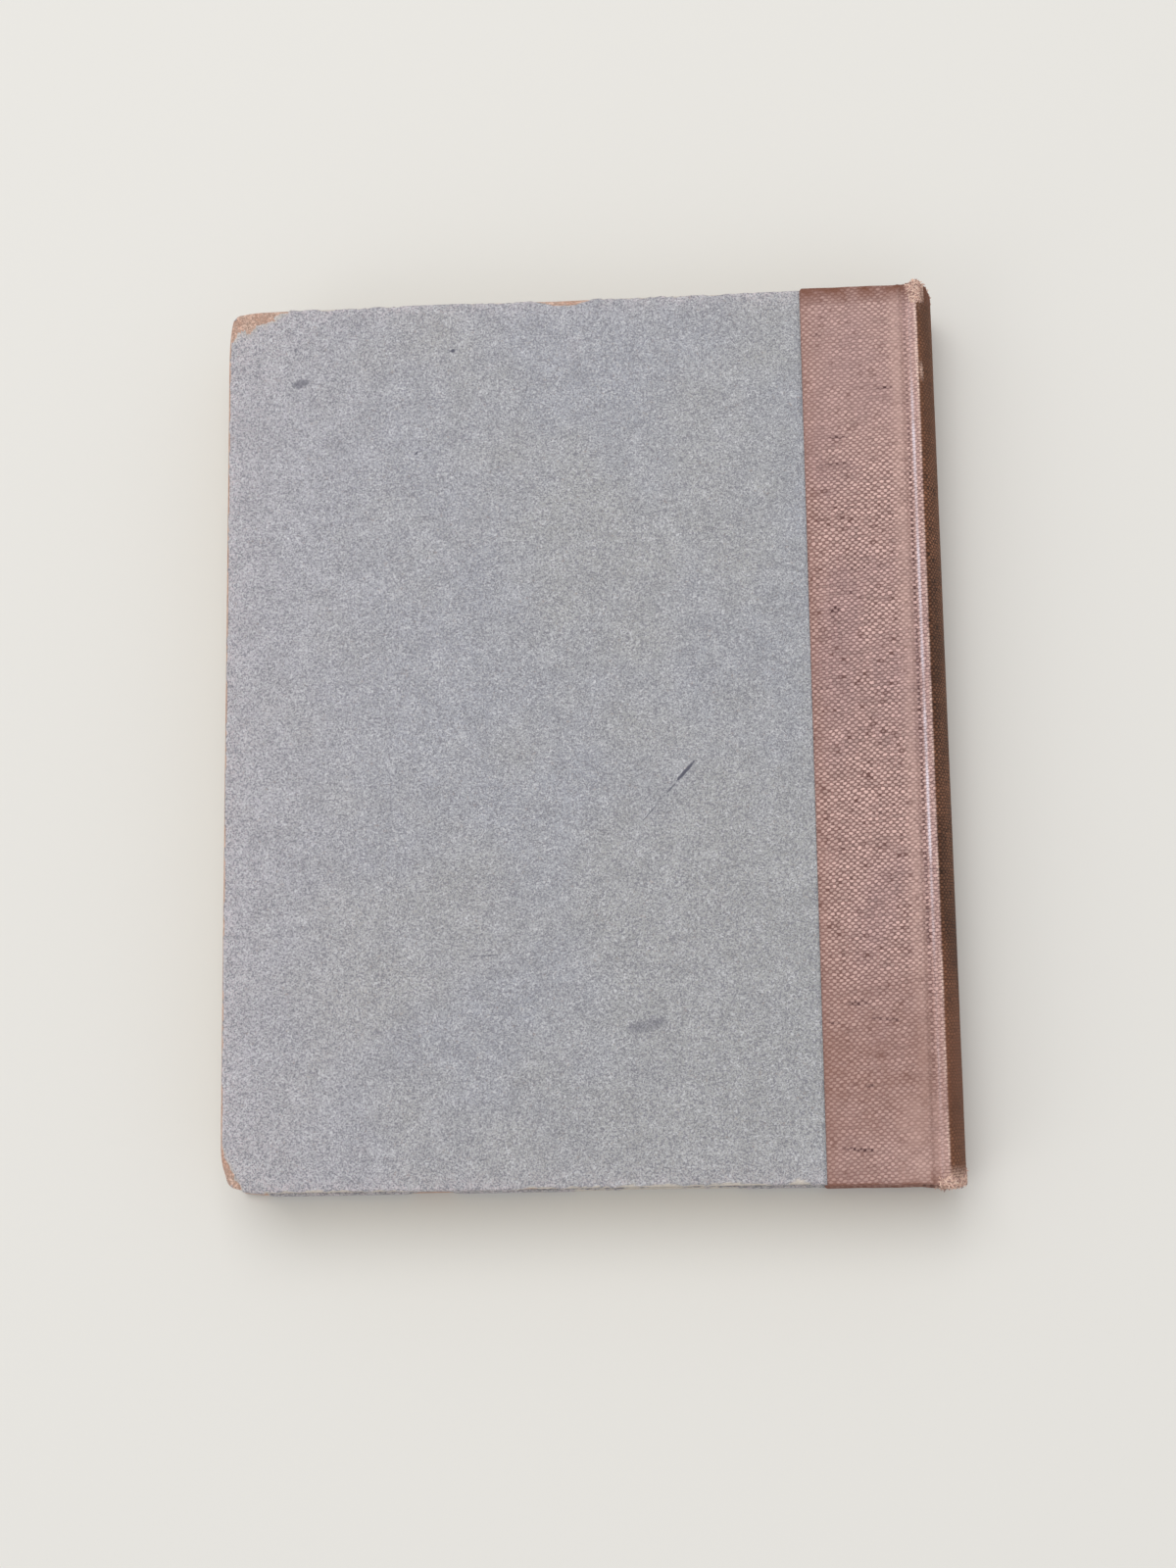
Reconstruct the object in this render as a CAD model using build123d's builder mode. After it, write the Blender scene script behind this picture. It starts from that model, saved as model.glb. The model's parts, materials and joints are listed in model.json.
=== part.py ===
from build123d import *
import os
from math import asin, degrees

os.makedirs("parts", exist_ok=True)

# A quarter-bound hardback book, lying on its front cover with the head towards +Y.
# The spine is towards +X and the fore-edge towards -X. All sizes are in millimetres.

# Driving dimensions
page_height = 216.0
page_width = 170.0
block_thickness = 18.0
square = 2.7
board_thickness = 2.5
joint_width = 5.0
back_bulge = 4.5

# Sheets
side_paper_thickness = 0.3
cloth_thickness = 0.4
leaf_thickness = 0.15
mull_thickness = 0.3
lining_thickness = 0.2
inlay_thickness = 0.4

# Clearances
closing_gap = 0.1
hinge_slit = 0.1
shoulder_drop = 0.4
mull_clearance = 0.7
hollow_gap = 1.0
paste_film = 0.05

# Covers
cloth_on_board = 24.0
paper_lap = 3.0
turn_in = 15.0
mull_reach = 25.0
corner_radius = 2.5

# Joint of the case: the valley beside the board and the ridge over the shoulder
valley_distance = 2.0
valley_depth = 0.9
valley_radius = 1.3
ridge_radius = 1.2
axis_rise = 0.12

# Rounded and backed text block
shoulder_inset = 0.8
shoulder_root_radius = 4.0
shoulder_tip_radius = 0.6
inlay_margin = 2.0
lining_margin = 2.0

# Wear on the back cover's paper, measured along the head, the tail and the fore-edge
head_corner_along_head = 13.0
head_corner_along_fore = 8.0
tail_corner_along_tail = 4.5
tail_corner_along_fore = 14.0
chip_from_fore_edge = 85.0
chip_width = 15.0
chip_depth = 1.7
wear_bow_share = 0.18
wear_down_share = 0.5

# One overrun serves every cut
overrun = 5.0

# Heights above the middle plane of the closed book
leaf_top = block_thickness / 2
fold_top = leaf_top + 2 * leaf_thickness
pastedown_in = leaf_top + leaf_thickness + closing_gap
lining_in = pastedown_in + leaf_thickness
board_in = lining_in + max(side_paper_thickness, mull_thickness)
board_out = board_in + board_thickness
paper_out = board_out + side_paper_thickness
middle = paper_out
case_height = 2 * paper_out

# Places along X, from the fore-edge to the crown of the spine
overall_width = side_paper_thickness + square + page_width + shoulder_inset + back_bulge
left = -overall_width / 2
board_left = left + side_paper_thickness
page_left = board_left + square
shoulder_x = page_left + page_width
ridge_x = shoulder_x + shoulder_inset
board_edge = ridge_x - joint_width
hinge_x = board_edge + valley_distance
crown_x = ridge_x + back_bulge
paper_line = board_edge - cloth_on_board
cloth_line = paper_line - paper_lap
mull_line = board_edge - mull_reach
block_crown_x = crown_x - cloth_thickness - inlay_thickness - hollow_gap - lining_thickness - mull_thickness
far_left = left - overrun
far_right = crown_x + overrun

# Half widths of the spine's strips: the inlay stops short of the ridges, the lining of the inlay
inlay_half_width = board_out - inlay_margin
lining_half_width = inlay_half_width - lining_margin

# Places along Y
page_half = page_height / 2
board_half = page_half + square
paper_half = board_half + side_paper_thickness
turn_line = board_half - turn_in
mull_half = turn_line - mull_clearance

middle_plane = Plane.XY.offset(middle)
section_plane = Plane(origin=(0, 0, middle), x_dir=(1, 0, 0), z_dir=(0, -1, 0))


def second_radius(run, rise, first_radius):
    """Radius of the second arc of an S whose two ends are level, from its first radius."""
    return (run**2 + rise**2) / (2 * rise) - first_radius


def slope(run, radius_sum):
    """Steepest slope, in degrees, of an S made of two arcs with level ends."""
    return degrees(asin(run / radius_sum))


def round_radius(reach, height, tip_radius):
    """Radius of the rounded back: tangent to the tip's arc, and upright at the crown."""
    return (reach**2 + height**2 - tip_radius**2) / (2 * (reach - tip_radius))


# Curves of the case: from the board's edge down to the valley, up to the ridge, round the back
edge_radius = second_radius(valley_distance, valley_depth, valley_radius)
fall_angle = slope(valley_distance, edge_radius + valley_radius)
climb_run = ridge_x - hinge_x
climb_radius = second_radius(climb_run, valley_depth, valley_radius)
climb_angle = slope(climb_run, climb_radius + valley_radius)
case_tip_height = board_out - ridge_radius
case_back_radius = round_radius(back_bulge, case_tip_height, ridge_radius)
case_back_angle = slope(case_tip_height, case_back_radius - ridge_radius)
case_back_centre = crown_x - case_back_radius

# Curves of the text block: the leaves flare out over the shoulder, then round the back
shoulder_top = board_out - 2 * cloth_thickness - shoulder_drop
shoulder_run = shoulder_x - board_edge
shoulder_rise = shoulder_top - fold_top
shoulder_radius = second_radius(shoulder_run, shoulder_rise, shoulder_root_radius)
shoulder_angle = slope(shoulder_run, shoulder_radius + shoulder_root_radius)
block_tip_height = shoulder_top - shoulder_tip_radius
block_round = block_crown_x - shoulder_x
block_back_radius = round_radius(block_round, block_tip_height, shoulder_tip_radius)
block_back_angle = slope(block_tip_height, block_back_radius - shoulder_tip_radius)


def case_outline(inset):
    """Closed section of the case, moved inward from the outer face of its cloth."""
    with BuildSketch() as outline:
        with BuildLine():
            level = board_out - inset
            flat = Line((far_left, level), (board_edge, level))
            edge = JernArc(flat @ 1, flat % 1, edge_radius - inset, -fall_angle)
            valley = JernArc(edge @ 1, edge % 1, valley_radius + inset, fall_angle + climb_angle)
            climb = JernArc(valley @ 1, valley % 1, climb_radius - inset, -climb_angle)
            ridge = JernArc(climb @ 1, climb % 1, ridge_radius - inset, case_back_angle - 90)
            JernArc(ridge @ 1, ridge % 1, case_back_radius - inset, -case_back_angle)
            mirror(about=Plane.XZ)
            Line((far_left, -level), (far_left, level))
        make_face()
    return outline.sketch_local


def block_outline(outset):
    """Closed section of the text block with its endpapers, moved outward from their surface."""
    with BuildSketch() as outline:
        with BuildLine():
            level = fold_top + outset
            flat = Line((far_left, level), (board_edge, level))
            root = JernArc(flat @ 1, flat % 1, shoulder_root_radius - outset, shoulder_angle)
            flare = JernArc(root @ 1, root % 1, shoulder_radius + outset, -shoulder_angle)
            tip = JernArc(flare @ 1, flare % 1, shoulder_tip_radius + outset, block_back_angle - 90)
            JernArc(tip @ 1, tip % 1, block_back_radius + outset, -block_back_angle)
            mirror(about=Plane.XZ)
            Line((far_left, -level), (far_left, level))
        make_face()
    return outline.sketch_local


def window(low_x, high_x, low_z, high_z, mode):
    """A rectangle that keeps or removes one stretch of a section."""
    with Locations(((low_x + high_x) / 2, (low_z + high_z) / 2)):
        Rectangle(high_x - low_x, high_z - low_z, mode=mode)


def sheet(outer, inner, low_x, high_x, low_z=-case_height):
    """Section of a sheet between two outlines, over one stretch of X."""
    with BuildSketch() as section:
        add(outer)
        add(inner, mode=Mode.SUBTRACT)
        window(low_x, high_x, low_z, case_height, Mode.INTERSECT)
    return section.sketch_local


def back_band(outer_radius, inner_radius, half_width):
    """Section of a strip that follows the rounded back of the case."""
    with BuildSketch() as section:
        with Locations((case_back_centre, 0)):
            Circle(outer_radius)
            Circle(inner_radius, mode=Mode.SUBTRACT)
        window(case_back_centre, far_right, -half_width, half_width, Mode.INTERSECT)
    return section.sketch_local


def plate(low_x, high_x, half_y, mode=Mode.ADD):
    """A rectangle in plan, centred on the book's height."""
    with Locations(((low_x + high_x) / 2, 0)):
        Rectangle(high_x - low_x, 2 * half_y, mode=mode)


def rounded_plate(low_x, high_x, half_y, radius):
    """A plate whose two fore-edge corners are worn round."""
    plate(low_x, high_x, half_y)
    fillet(vertices().group_by(Axis.X)[0], radius)


case_skin = case_outline(0)
case_lining = case_outline(cloth_thickness)
case_turned = case_outline(2 * cloth_thickness)
block_skin = block_outline(0)

# The pages: one block, rounded and backed, with the fore-edge hollowed by the rounding
endpaper_folds = sheet(block_skin, block_outline(-2 * leaf_thickness), far_left, shoulder_x)
with BuildPart() as page_block:
    with BuildSketch(section_plane):
        add(block_skin)
        add(endpaper_folds, mode=Mode.SUBTRACT)
        with BuildLine():
            hollow = ThreePointArc((page_left, leaf_top), (page_left + block_round, 0), (page_left, -leaf_top))
            Polyline(hollow @ 1, (far_left, -leaf_top), (far_left, leaf_top), hollow @ 0)
        make_face(mode=Mode.SUBTRACT)
    extrude(amount=page_half, both=True)

# Back flyleaf: the free half of the folded endpaper, doubled at its fold on the shoulder
free_leaf = sheet(block_outline(-leaf_thickness), block_outline(-2 * leaf_thickness), page_left, shoulder_x, 0)
leaf_fold = sheet(block_skin, block_outline(-leaf_thickness), hinge_x + hinge_slit, shoulder_x, 0)
with BuildPart() as back_flyleaf:
    with BuildSketch(section_plane):
        add(free_leaf)
        add(leaf_fold)
    extrude(amount=page_half, both=True)

# Mull: open gauze glued over the back and the shoulders, short of the head and tail
with BuildPart() as mull:
    with BuildSketch(section_plane):
        add(sheet(block_outline(mull_thickness), block_skin, hinge_x + hinge_slit, far_right))
    extrude(amount=mull_half, both=True)

# Spine lining: a strip of brown paper on the back, between the shoulders
lining_in_offset = mull_thickness + paste_film
lining_out_offset = lining_in_offset + lining_thickness
with BuildPart() as spine_lining:
    with BuildSketch(section_plane):
        add(sheet(block_outline(lining_out_offset), block_outline(lining_in_offset), shoulder_x, far_right))
        window(shoulder_x, far_right, -lining_half_width, lining_half_width, Mode.INTERSECT)
    extrude(amount=page_half, both=True)

# Spine inlay: a card strip that stiffens the hollow back, inside the turned-in cloth
inlay_outer = case_back_radius - cloth_thickness
inlay_inner = inlay_outer - inlay_thickness
with BuildPart() as spine_inlay:
    with BuildSketch(section_plane):
        add(back_band(inlay_outer, inlay_inner, inlay_half_width))
    extrude(amount=board_half - cloth_thickness, both=True)

# Spine cloth: from valley to valley, folded in over the inlay and its edges at the head and tail
turned_radius = inlay_inner - cloth_thickness
turned_half_width = inlay_half_width + cloth_thickness
with BuildPart() as spine_cloth:
    with BuildSketch(section_plane):
        add(sheet(case_skin, case_lining, hinge_x + hinge_slit, far_right))
    extrude(amount=board_half, both=True)
    for end in (-1, 1):
        with BuildSketch(section_plane.offset(end * board_half)):
            add(sheet(case_lining, case_turned, hinge_x + hinge_slit, far_right))
            window(far_left, far_right, -inlay_half_width, inlay_half_width, Mode.SUBTRACT)
            add(back_band(inlay_inner, turned_radius, turned_half_width))
        extrude(amount=-end * turn_in)
        with BuildSketch(section_plane.offset(end * board_half)):
            add(back_band(inlay_outer, turned_radius, turned_half_width))
        extrude(amount=-end * cloth_thickness)

# Back cloth: the cover's part of the same cloth, pressed flush into the board
with BuildPart() as back_cloth:
    with BuildSketch(section_plane):
        add(sheet(case_skin, case_lining, cloth_line, hinge_x - hinge_slit, 0))
    extrude(amount=board_half, both=True)
    for end in (-1, 1):
        with BuildSketch(section_plane.offset(end * board_half)):
            add(sheet(case_lining, case_turned, board_edge, hinge_x - hinge_slit, 0))
            window(cloth_line, board_edge, board_in, board_in + cloth_thickness, Mode.ADD)
        extrude(amount=-end * turn_in)
        with BuildSketch(section_plane.offset(end * board_half)):
            window(cloth_line, board_edge, board_in, board_out, Mode.ADD)
        extrude(amount=-end * cloth_thickness)

# Back board: grey strawboard, thinned where the cloth is pressed in
with BuildPart() as back_board:
    with BuildSketch(middle_plane.offset(board_in)):
        rounded_plate(board_left, board_edge, board_half, corner_radius)
    extrude(amount=board_thickness)
    add(back_cloth.part, mode=Mode.SUBTRACT)

# Side paper: laid over the board and the cloth's edge, and turned in on three sides
with BuildPart() as plain_side_paper:
    with BuildSketch(middle_plane.offset(board_in - side_paper_thickness)):
        rounded_plate(left, paper_line, paper_half, corner_radius + side_paper_thickness)
    extrude(amount=paper_out - board_in + side_paper_thickness)
    with BuildSketch(middle_plane.offset(board_in)):
        rounded_plate(board_left, board_edge, board_half, corner_radius)
    extrude(amount=board_thickness, mode=Mode.SUBTRACT)
    with BuildSketch(middle_plane.offset(board_in - side_paper_thickness)):
        plate(left + turn_in, far_right, paper_half - turn_in)
    extrude(amount=side_paper_thickness, mode=Mode.SUBTRACT)


def worn_corner(along_end, along_fore, end):
    """Face of a worn-through corner in plan: its inner side bows away from the corner."""
    corner = Vector(left, end * paper_half)
    on_end = corner + Vector(along_end, 0)
    on_fore = corner - Vector(0, end * along_fore)
    bow = (on_end + on_fore) * 0.5 + (on_end + on_fore - corner * 2) * wear_bow_share
    beyond = corner + Vector(-overrun, end * overrun)
    with BuildSketch() as corner_face:
        with BuildLine():
            ThreePointArc(on_end, bow, on_fore)
            Polyline(on_fore, (beyond.X, on_fore.Y), beyond, (on_end.X, beyond.Y), on_end)
        make_face()
    return corner_face.sketch_local


# Back side paper: worn through at both fore-edge corners and chipped at the head
worn_head = worn_corner(head_corner_along_head, head_corner_along_fore, 1)
worn_tail = worn_corner(tail_corner_along_tail, tail_corner_along_fore, -1)
with BuildPart() as back_side_paper:
    add(plain_side_paper.part)
    with BuildSketch(middle_plane.offset(board_out - board_thickness * wear_down_share)):
        add(worn_head)
        add(worn_tail)
        with Locations((left + chip_from_fore_edge, paper_half)):
            Ellipse(chip_width / 2, chip_depth)
    extrude(amount=board_thickness + side_paper_thickness, mode=Mode.SUBTRACT)

# Back mull wing: the gauze beyond the valley, glued to the inside of the board
wing_out = board_in - fold_top
wing_in = wing_out - mull_thickness
with BuildPart() as back_mull_wing:
    with BuildSketch(section_plane):
        add(sheet(block_outline(wing_out), block_outline(wing_in), mull_line, hinge_x - hinge_slit, 0))
    extrude(amount=mull_half, both=True)

# Back pastedown: lies on the board and steps up over the turn-ins and the mull
paste_in = pastedown_in - fold_top
paste_out = paste_in + leaf_thickness
with BuildPart() as back_pastedown:
    with BuildSketch(middle_plane.offset(board_in - leaf_thickness)):
        plate(page_left, board_edge, page_half)
    extrude(amount=leaf_thickness)
    with BuildSketch(middle_plane.offset(pastedown_in)):
        plate(page_left, paper_line + leaf_thickness, page_half)
        plate(left + turn_in + leaf_thickness, far_right, paper_half - turn_in - leaf_thickness, Mode.SUBTRACT)
        plate(mull_line - leaf_thickness, board_edge, mull_half + leaf_thickness)
        plate(board_edge - leaf_thickness, board_edge, page_half)
    extrude(amount=board_in - pastedown_in)
    with BuildSketch(section_plane):
        add(sheet(block_outline(paste_out), block_outline(paste_in), board_edge - leaf_thickness,
                  hinge_x - hinge_slit, 0))
    extrude(amount=page_half, both=True)
    add(plain_side_paper.part, mode=Mode.SUBTRACT)
    add(back_mull_wing.part, mode=Mode.SUBTRACT)

# The front cover and flyleaf mirror the back ones in the middle plane
with BuildPart() as front_flyleaf:
    mirror(back_flyleaf.part, about=middle_plane)

with BuildPart() as front_cloth:
    mirror(back_cloth.part, about=middle_plane)

with BuildPart() as front_board:
    mirror(back_board.part, about=middle_plane)

with BuildPart() as front_side_paper:
    mirror(plain_side_paper.part, about=middle_plane)

with BuildPart() as front_mull_wing:
    mirror(back_mull_wing.part, about=middle_plane)

with BuildPart() as front_pastedown:
    mirror(back_pastedown.part, about=middle_plane)

pieces = {
    "page_block": page_block,
    "front_flyleaf": front_flyleaf,
    "back_flyleaf": back_flyleaf,
    "mull": mull,
    "spine_lining": spine_lining,
    "spine_inlay": spine_inlay,
    "spine_cloth": spine_cloth,
    "back_board": back_board,
    "back_side_paper": back_side_paper,
    "back_cloth": back_cloth,
    "back_mull_wing": back_mull_wing,
    "back_pastedown": back_pastedown,
    "front_board": front_board,
    "front_side_paper": front_side_paper,
    "front_cloth": front_cloth,
    "front_mull_wing": front_mull_wing,
    "front_pastedown": front_pastedown,
}
for name, piece in pieces.items():
    piece.part.label = name
    export_step(piece.part, f"parts/{name}.step")

# The covers turn about lines just outside the cloth, over the middle of each valley
axis_height = board_out + axis_rise
print("overall size", overall_width, 2 * paper_half, case_height)
print("hinge lines: x", hinge_x, "back z", middle + axis_height, "front z", middle - axis_height)
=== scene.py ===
import json
import math

import bmesh
import bpy
import numpy as np
from mathutils import Matrix, Vector


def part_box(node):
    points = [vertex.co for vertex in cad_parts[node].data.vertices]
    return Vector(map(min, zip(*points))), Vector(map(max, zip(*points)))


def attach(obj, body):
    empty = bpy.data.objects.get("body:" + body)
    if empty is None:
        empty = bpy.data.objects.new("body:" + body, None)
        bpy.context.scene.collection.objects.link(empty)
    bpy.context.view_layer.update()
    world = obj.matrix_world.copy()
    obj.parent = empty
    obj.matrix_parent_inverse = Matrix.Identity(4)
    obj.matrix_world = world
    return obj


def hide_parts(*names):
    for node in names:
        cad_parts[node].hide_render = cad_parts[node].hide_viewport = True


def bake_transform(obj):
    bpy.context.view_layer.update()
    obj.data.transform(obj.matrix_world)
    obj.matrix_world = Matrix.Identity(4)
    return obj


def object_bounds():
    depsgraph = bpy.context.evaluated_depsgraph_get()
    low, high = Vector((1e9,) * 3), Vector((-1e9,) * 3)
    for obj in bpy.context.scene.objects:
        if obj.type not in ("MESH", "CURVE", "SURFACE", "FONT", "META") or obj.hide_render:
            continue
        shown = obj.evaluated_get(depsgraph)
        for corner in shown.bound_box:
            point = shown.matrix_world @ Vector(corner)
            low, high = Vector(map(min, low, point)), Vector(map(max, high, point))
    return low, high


# A worn quarter-bound book: canvas spine, blue-grey paper sides, back cover up.
# Metres. +X runs to the spine, +Y to the head, +Z up. "Side" is +1 for the back
# cover, on top, and -1 for the front cover, its mirror image below the middle plane.

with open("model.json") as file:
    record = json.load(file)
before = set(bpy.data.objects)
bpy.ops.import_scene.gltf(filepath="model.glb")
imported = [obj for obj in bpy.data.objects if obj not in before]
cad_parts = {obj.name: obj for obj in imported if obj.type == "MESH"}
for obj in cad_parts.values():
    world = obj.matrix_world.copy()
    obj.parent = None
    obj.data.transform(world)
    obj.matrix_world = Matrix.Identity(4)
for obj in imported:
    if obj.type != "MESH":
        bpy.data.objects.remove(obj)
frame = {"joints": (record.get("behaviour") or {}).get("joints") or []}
cad_low, cad_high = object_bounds()
MM = 0.001

# Places read from the frame; heights are above the middle plane
MIDDLE = (cad_low.z + cad_high.z) / 2
board_low, board_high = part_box("back_board")
paper_low, paper_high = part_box("back_side_paper")
block_low, block_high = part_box("page_block")
cloth_low, cloth_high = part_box("back_cloth")
mull_low, mull_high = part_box("back_mull_wing")
HINGE_X = next(j["pos_m"][0] for j in frame["joints"] if j["name"] == "back_cover_hinge")
BOARD_LEFT, BOARD_EDGE, BOARD_HALF = board_low.x, board_high.x, board_high.y
BOARD_IN, BOARD_OUT = board_low.z - MIDDLE, board_high.z - MIDDLE
PAPER_LEFT, PAPER_LINE, PAPER_HALF = paper_low.x, paper_high.x, paper_high.y
PAPER_OUT = paper_high.z - MIDDLE
PAPER_THICK = PAPER_OUT - BOARD_OUT
CLOTH_LINE, CLOTH_HALF = cloth_low.x, cloth_high.y
CROWN_X = cad_high.x
PAGE_LEFT, PAGE_HALF, BLOCK_CROWN = block_low.x, block_high.y, block_high.x
SHOULDER_TOP = block_high.z - MIDDLE
SHOULDER_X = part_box("back_flyleaf")[1].x
MULL_LINE, MULL_HALF = mull_low.x, mull_high.y

# Thicknesses and curves of the binding
CLOTH_THICK = 0.4 * MM
TURNED_IN_THICK = 0.28 * MM
LEAF_THICK = 0.15 * MM
RIDGE_X = SHOULDER_X + 0.8 * MM
VALLEY_DEPTH = 0.9 * MM
VALLEY_RADIUS = 1.3 * MM
RIDGE_RADIUS = 1.2 * MM
SHOULDER_ROOT_RADIUS = 4.0 * MM
TURN_IN = 15.0 * MM
TURN_LINE = BOARD_HALF - TURN_IN
CORNER_RADIUS = 2.5 * MM
EDGE_RADIUS = 0.55 * MM
LEAF_TOP = 9.0 * MM
FOLD_TOP = LEAF_TOP + 2 * LEAF_THICK
PASTEDOWN_IN = FOLD_TOP - 0.05 * MM
FORE_HOLLOW = 3.0 * MM
LAID_OPEN_ROOM = 0.17 * MM


# Arrays, noise and meshes


def lattice_noise(x, y, seed):
    """Smooth noise in -1..1: random values at whole x and y, joined by smoothstep."""
    table = np.random.default_rng(seed).uniform(-1, 1, (256, 256))
    x, y = np.broadcast_arrays(np.asarray(x, float), np.asarray(y, float))
    column, row = np.floor(x).astype(int), np.floor(y).astype(int)
    across, along = (f * f * (3 - 2 * f) for f in (x - column, y - row))

    def level(row):
        left, right = table[column % 256, row % 256], table[(column + 1) % 256, row % 256]
        return left * (1 - across) + right * across

    return level(row) * (1 - along) + level(row + 1) * along


def rough_noise(x, y, cell, seed, layers=4):
    """Lattice noise with cells of that many millimetres, in several layers, each half
    the size and 0.55 the strength of the last."""
    strength = 0.55 ** np.arange(layers)
    total = 0.0
    for layer in range(layers):
        scale = 2**layer / (cell * MM)
        total = total + strength[layer] * lattice_noise(x * scale, y * scale, seed + layer)
    return total / strength.sum()


def ease(value, low, high):
    """Smoothstep: 0 below low, 1 above high, with level ends."""
    share = np.clip((value - low) / (high - low), 0, 1)
    return share * share * (3 - 2 * share)


def peak(value, centre, width):
    """A bell: 1 at the centre, falling as exp(-(distance / width) squared)."""
    return np.exp(-(((value - centre) / width) ** 2))


def grid_quads(rows, columns, start=0, wrap=False):
    """Quads of a grid of rows x columns points, numbered row by row from start. With rows
    along +Y and columns along +X they face up. wrap joins the last column to the first."""
    number = start + np.arange(rows * columns).reshape(rows, columns)
    if wrap:
        number = np.concatenate([number, number[:, :1]], 1)
    quads = np.stack([number[:-1, :-1], number[:-1, 1:], number[1:, 1:], number[1:, :-1]], -1)
    return quads.reshape(-1, 4)


def make_piece(name, points, faces, material, side=1, uv=None, values=None, smooth=True):
    """A mesh object at the origin. Heights are above the middle plane and side mirrors
    them, turning the faces over. uv and values are given for each point."""
    points = np.array(points, float).reshape(-1, 3)
    points[:, 2] = MIDDLE + side * points[:, 2]
    faces = [tuple(int(i) for i in (face if side > 0 else face[::-1])) for face in faces]
    mesh = bpy.data.meshes.new(name)
    mesh.from_pydata(points.tolist(), [], faces)
    if uv is not None:
        corner = np.empty(len(mesh.loops), np.int32)
        mesh.loops.foreach_get("vertex_index", corner)
        layer = mesh.uv_layers.new(name="Flat")
        layer.data.foreach_set("uv", np.asarray(uv, np.float32).reshape(-1, 2)[corner].ravel())
    for key, value in (values or {}).items():
        stored = mesh.attributes.new(key, "FLOAT", "POINT")
        stored.data.foreach_set("value", np.asarray(value, np.float32).ravel())
    mesh.polygons.foreach_set("use_smooth", np.full(len(mesh.polygons), smooth))
    mesh.materials.append(material)
    mesh.update()
    piece = bpy.data.objects.new(name, mesh)
    bpy.context.scene.collection.objects.link(piece)
    return piece


def mend(piece, outward=False):
    """Joins points that lie in the same place, so that seams and ends are closed, or
    turns the faces of closed shapes outward."""
    mesh = bmesh.new()
    mesh.from_mesh(piece.data)
    if outward:
        bmesh.ops.recalc_face_normals(mesh, faces=mesh.faces)
    else:
        bmesh.ops.remove_doubles(mesh, verts=mesh.verts, dist=1e-7)
    mesh.to_mesh(piece.data)
    mesh.free()


def thicken(piece, thickness):
    """Solidify: gives a surface its thickness, behind its outward side."""
    wall = piece.modifiers.new("Thickness", "SOLIDIFY")
    wall.thickness = thickness
    wall.offset = -1


def apply_modifiers(piece):
    """Makes the modifiers' result the piece's own mesh."""
    graph = bpy.context.evaluated_depsgraph_get()
    graph.update()
    finished = piece.evaluated_get(graph)
    done = bpy.data.meshes.new_from_object(finished, preserve_all_data_layers=True, depsgraph=graph)
    piece.modifiers.clear()
    piece.data = done


def settle(piece, nodes, body):
    """Puts a new piece in the place of CAD nodes, which it hides, and on its body."""
    if nodes:
        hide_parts(*nodes.split())
    if body:
        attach(piece, body)


def bend_at_hinge(piece, side):
    """Bakes the piece's transform into its mesh. It does the same on either side, and does not
    bend the piece at the joint."""
    if side > 0:
        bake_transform(piece)
    else:
        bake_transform(piece)


# Section curves


def arc_points(start, heading, radius, turn, count):
    """Points along an arc that leaves start with that heading, in radians; turn is
    positive to the left. Returns the points and the new heading."""
    hand = math.copysign(1, turn)
    centre = start + hand * radius * np.array([-math.sin(heading), math.cos(heading)])
    angle = heading - hand * math.pi / 2 + np.linspace(0, turn, count)
    return centre + radius * np.stack([np.cos(angle), np.sin(angle)], 1), heading + turn


def follow(start, arcs):
    """Points of a path of tangent arcs (radius, turn, count), starting level at start."""
    points, heading = [start[None]], 0.0
    for radius, turn, count in arcs:
        stretch, heading = arc_points(points[-1][-1], heading, radius, turn, count)
        points.append(stretch[1:])
    return np.concatenate(points)


def level_curve(run, rise, first_radius):
    """An S of two arcs with level ends: the second radius, and how far each arc turns,
    from its run, its rise and its first radius."""
    second = (run**2 + rise**2) / (2 * rise) - first_radius
    return second, math.asin(run / (second + first_radius))


def case_line():
    """Outer line of the cloth on one side, as (x, height): along the board, down to the
    valley, up to the ridge, and round the back to the crown. Returns it with its
    arc length from the crown and its inward normals."""
    step = 3.0 * MM
    past_the_paper = np.array([0.25, 0.6]) * MM
    edge_radius, fall = level_curve(HINGE_X - BOARD_EDGE, VALLEY_DEPTH, VALLEY_RADIUS)
    climb_radius, climb = level_curve(RIDGE_X - HINGE_X, VALLEY_DEPTH, VALLEY_RADIUS)
    reach, height = CROWN_X - RIDGE_X, BOARD_OUT - RIDGE_RADIUS
    back_radius = (reach**2 + height**2 - RIDGE_RADIUS**2) / (2 * (reach - RIDGE_RADIUS))
    tip = math.pi / 2 - math.asin(height / (back_radius - RIDGE_RADIUS))
    flat_x = np.append(np.arange(CLOTH_LINE, BOARD_EDGE - step / 2, step), BOARD_EDGE)
    flat_x = np.sort(np.append(flat_x, PAPER_LINE + past_the_paper))
    flat = np.stack([flat_x, np.full(len(flat_x), BOARD_OUT)], 1)
    curve = follow(flat[-1], [
        (edge_radius, -fall, 9),
        (VALLEY_RADIUS, fall + climb, 13),
        (climb_radius, -climb, 11),
        (RIDGE_RADIUS, -tip, 9),
        (back_radius, tip - math.pi / 2, 25),
    ])
    line = np.concatenate([flat, curve[1:]])
    length = np.append(0, np.cumsum(np.hypot(*np.diff(line, axis=0).T)))
    tangent = np.gradient(line, length, axis=0)
    tangent[-1] = (0, -1)
    tangent /= np.hypot(*tangent.T)[:, None]
    inward = np.stack([tangent[:, 1], -tangent[:, 0]], 1)
    return line, length[-1] - length, inward


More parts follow.
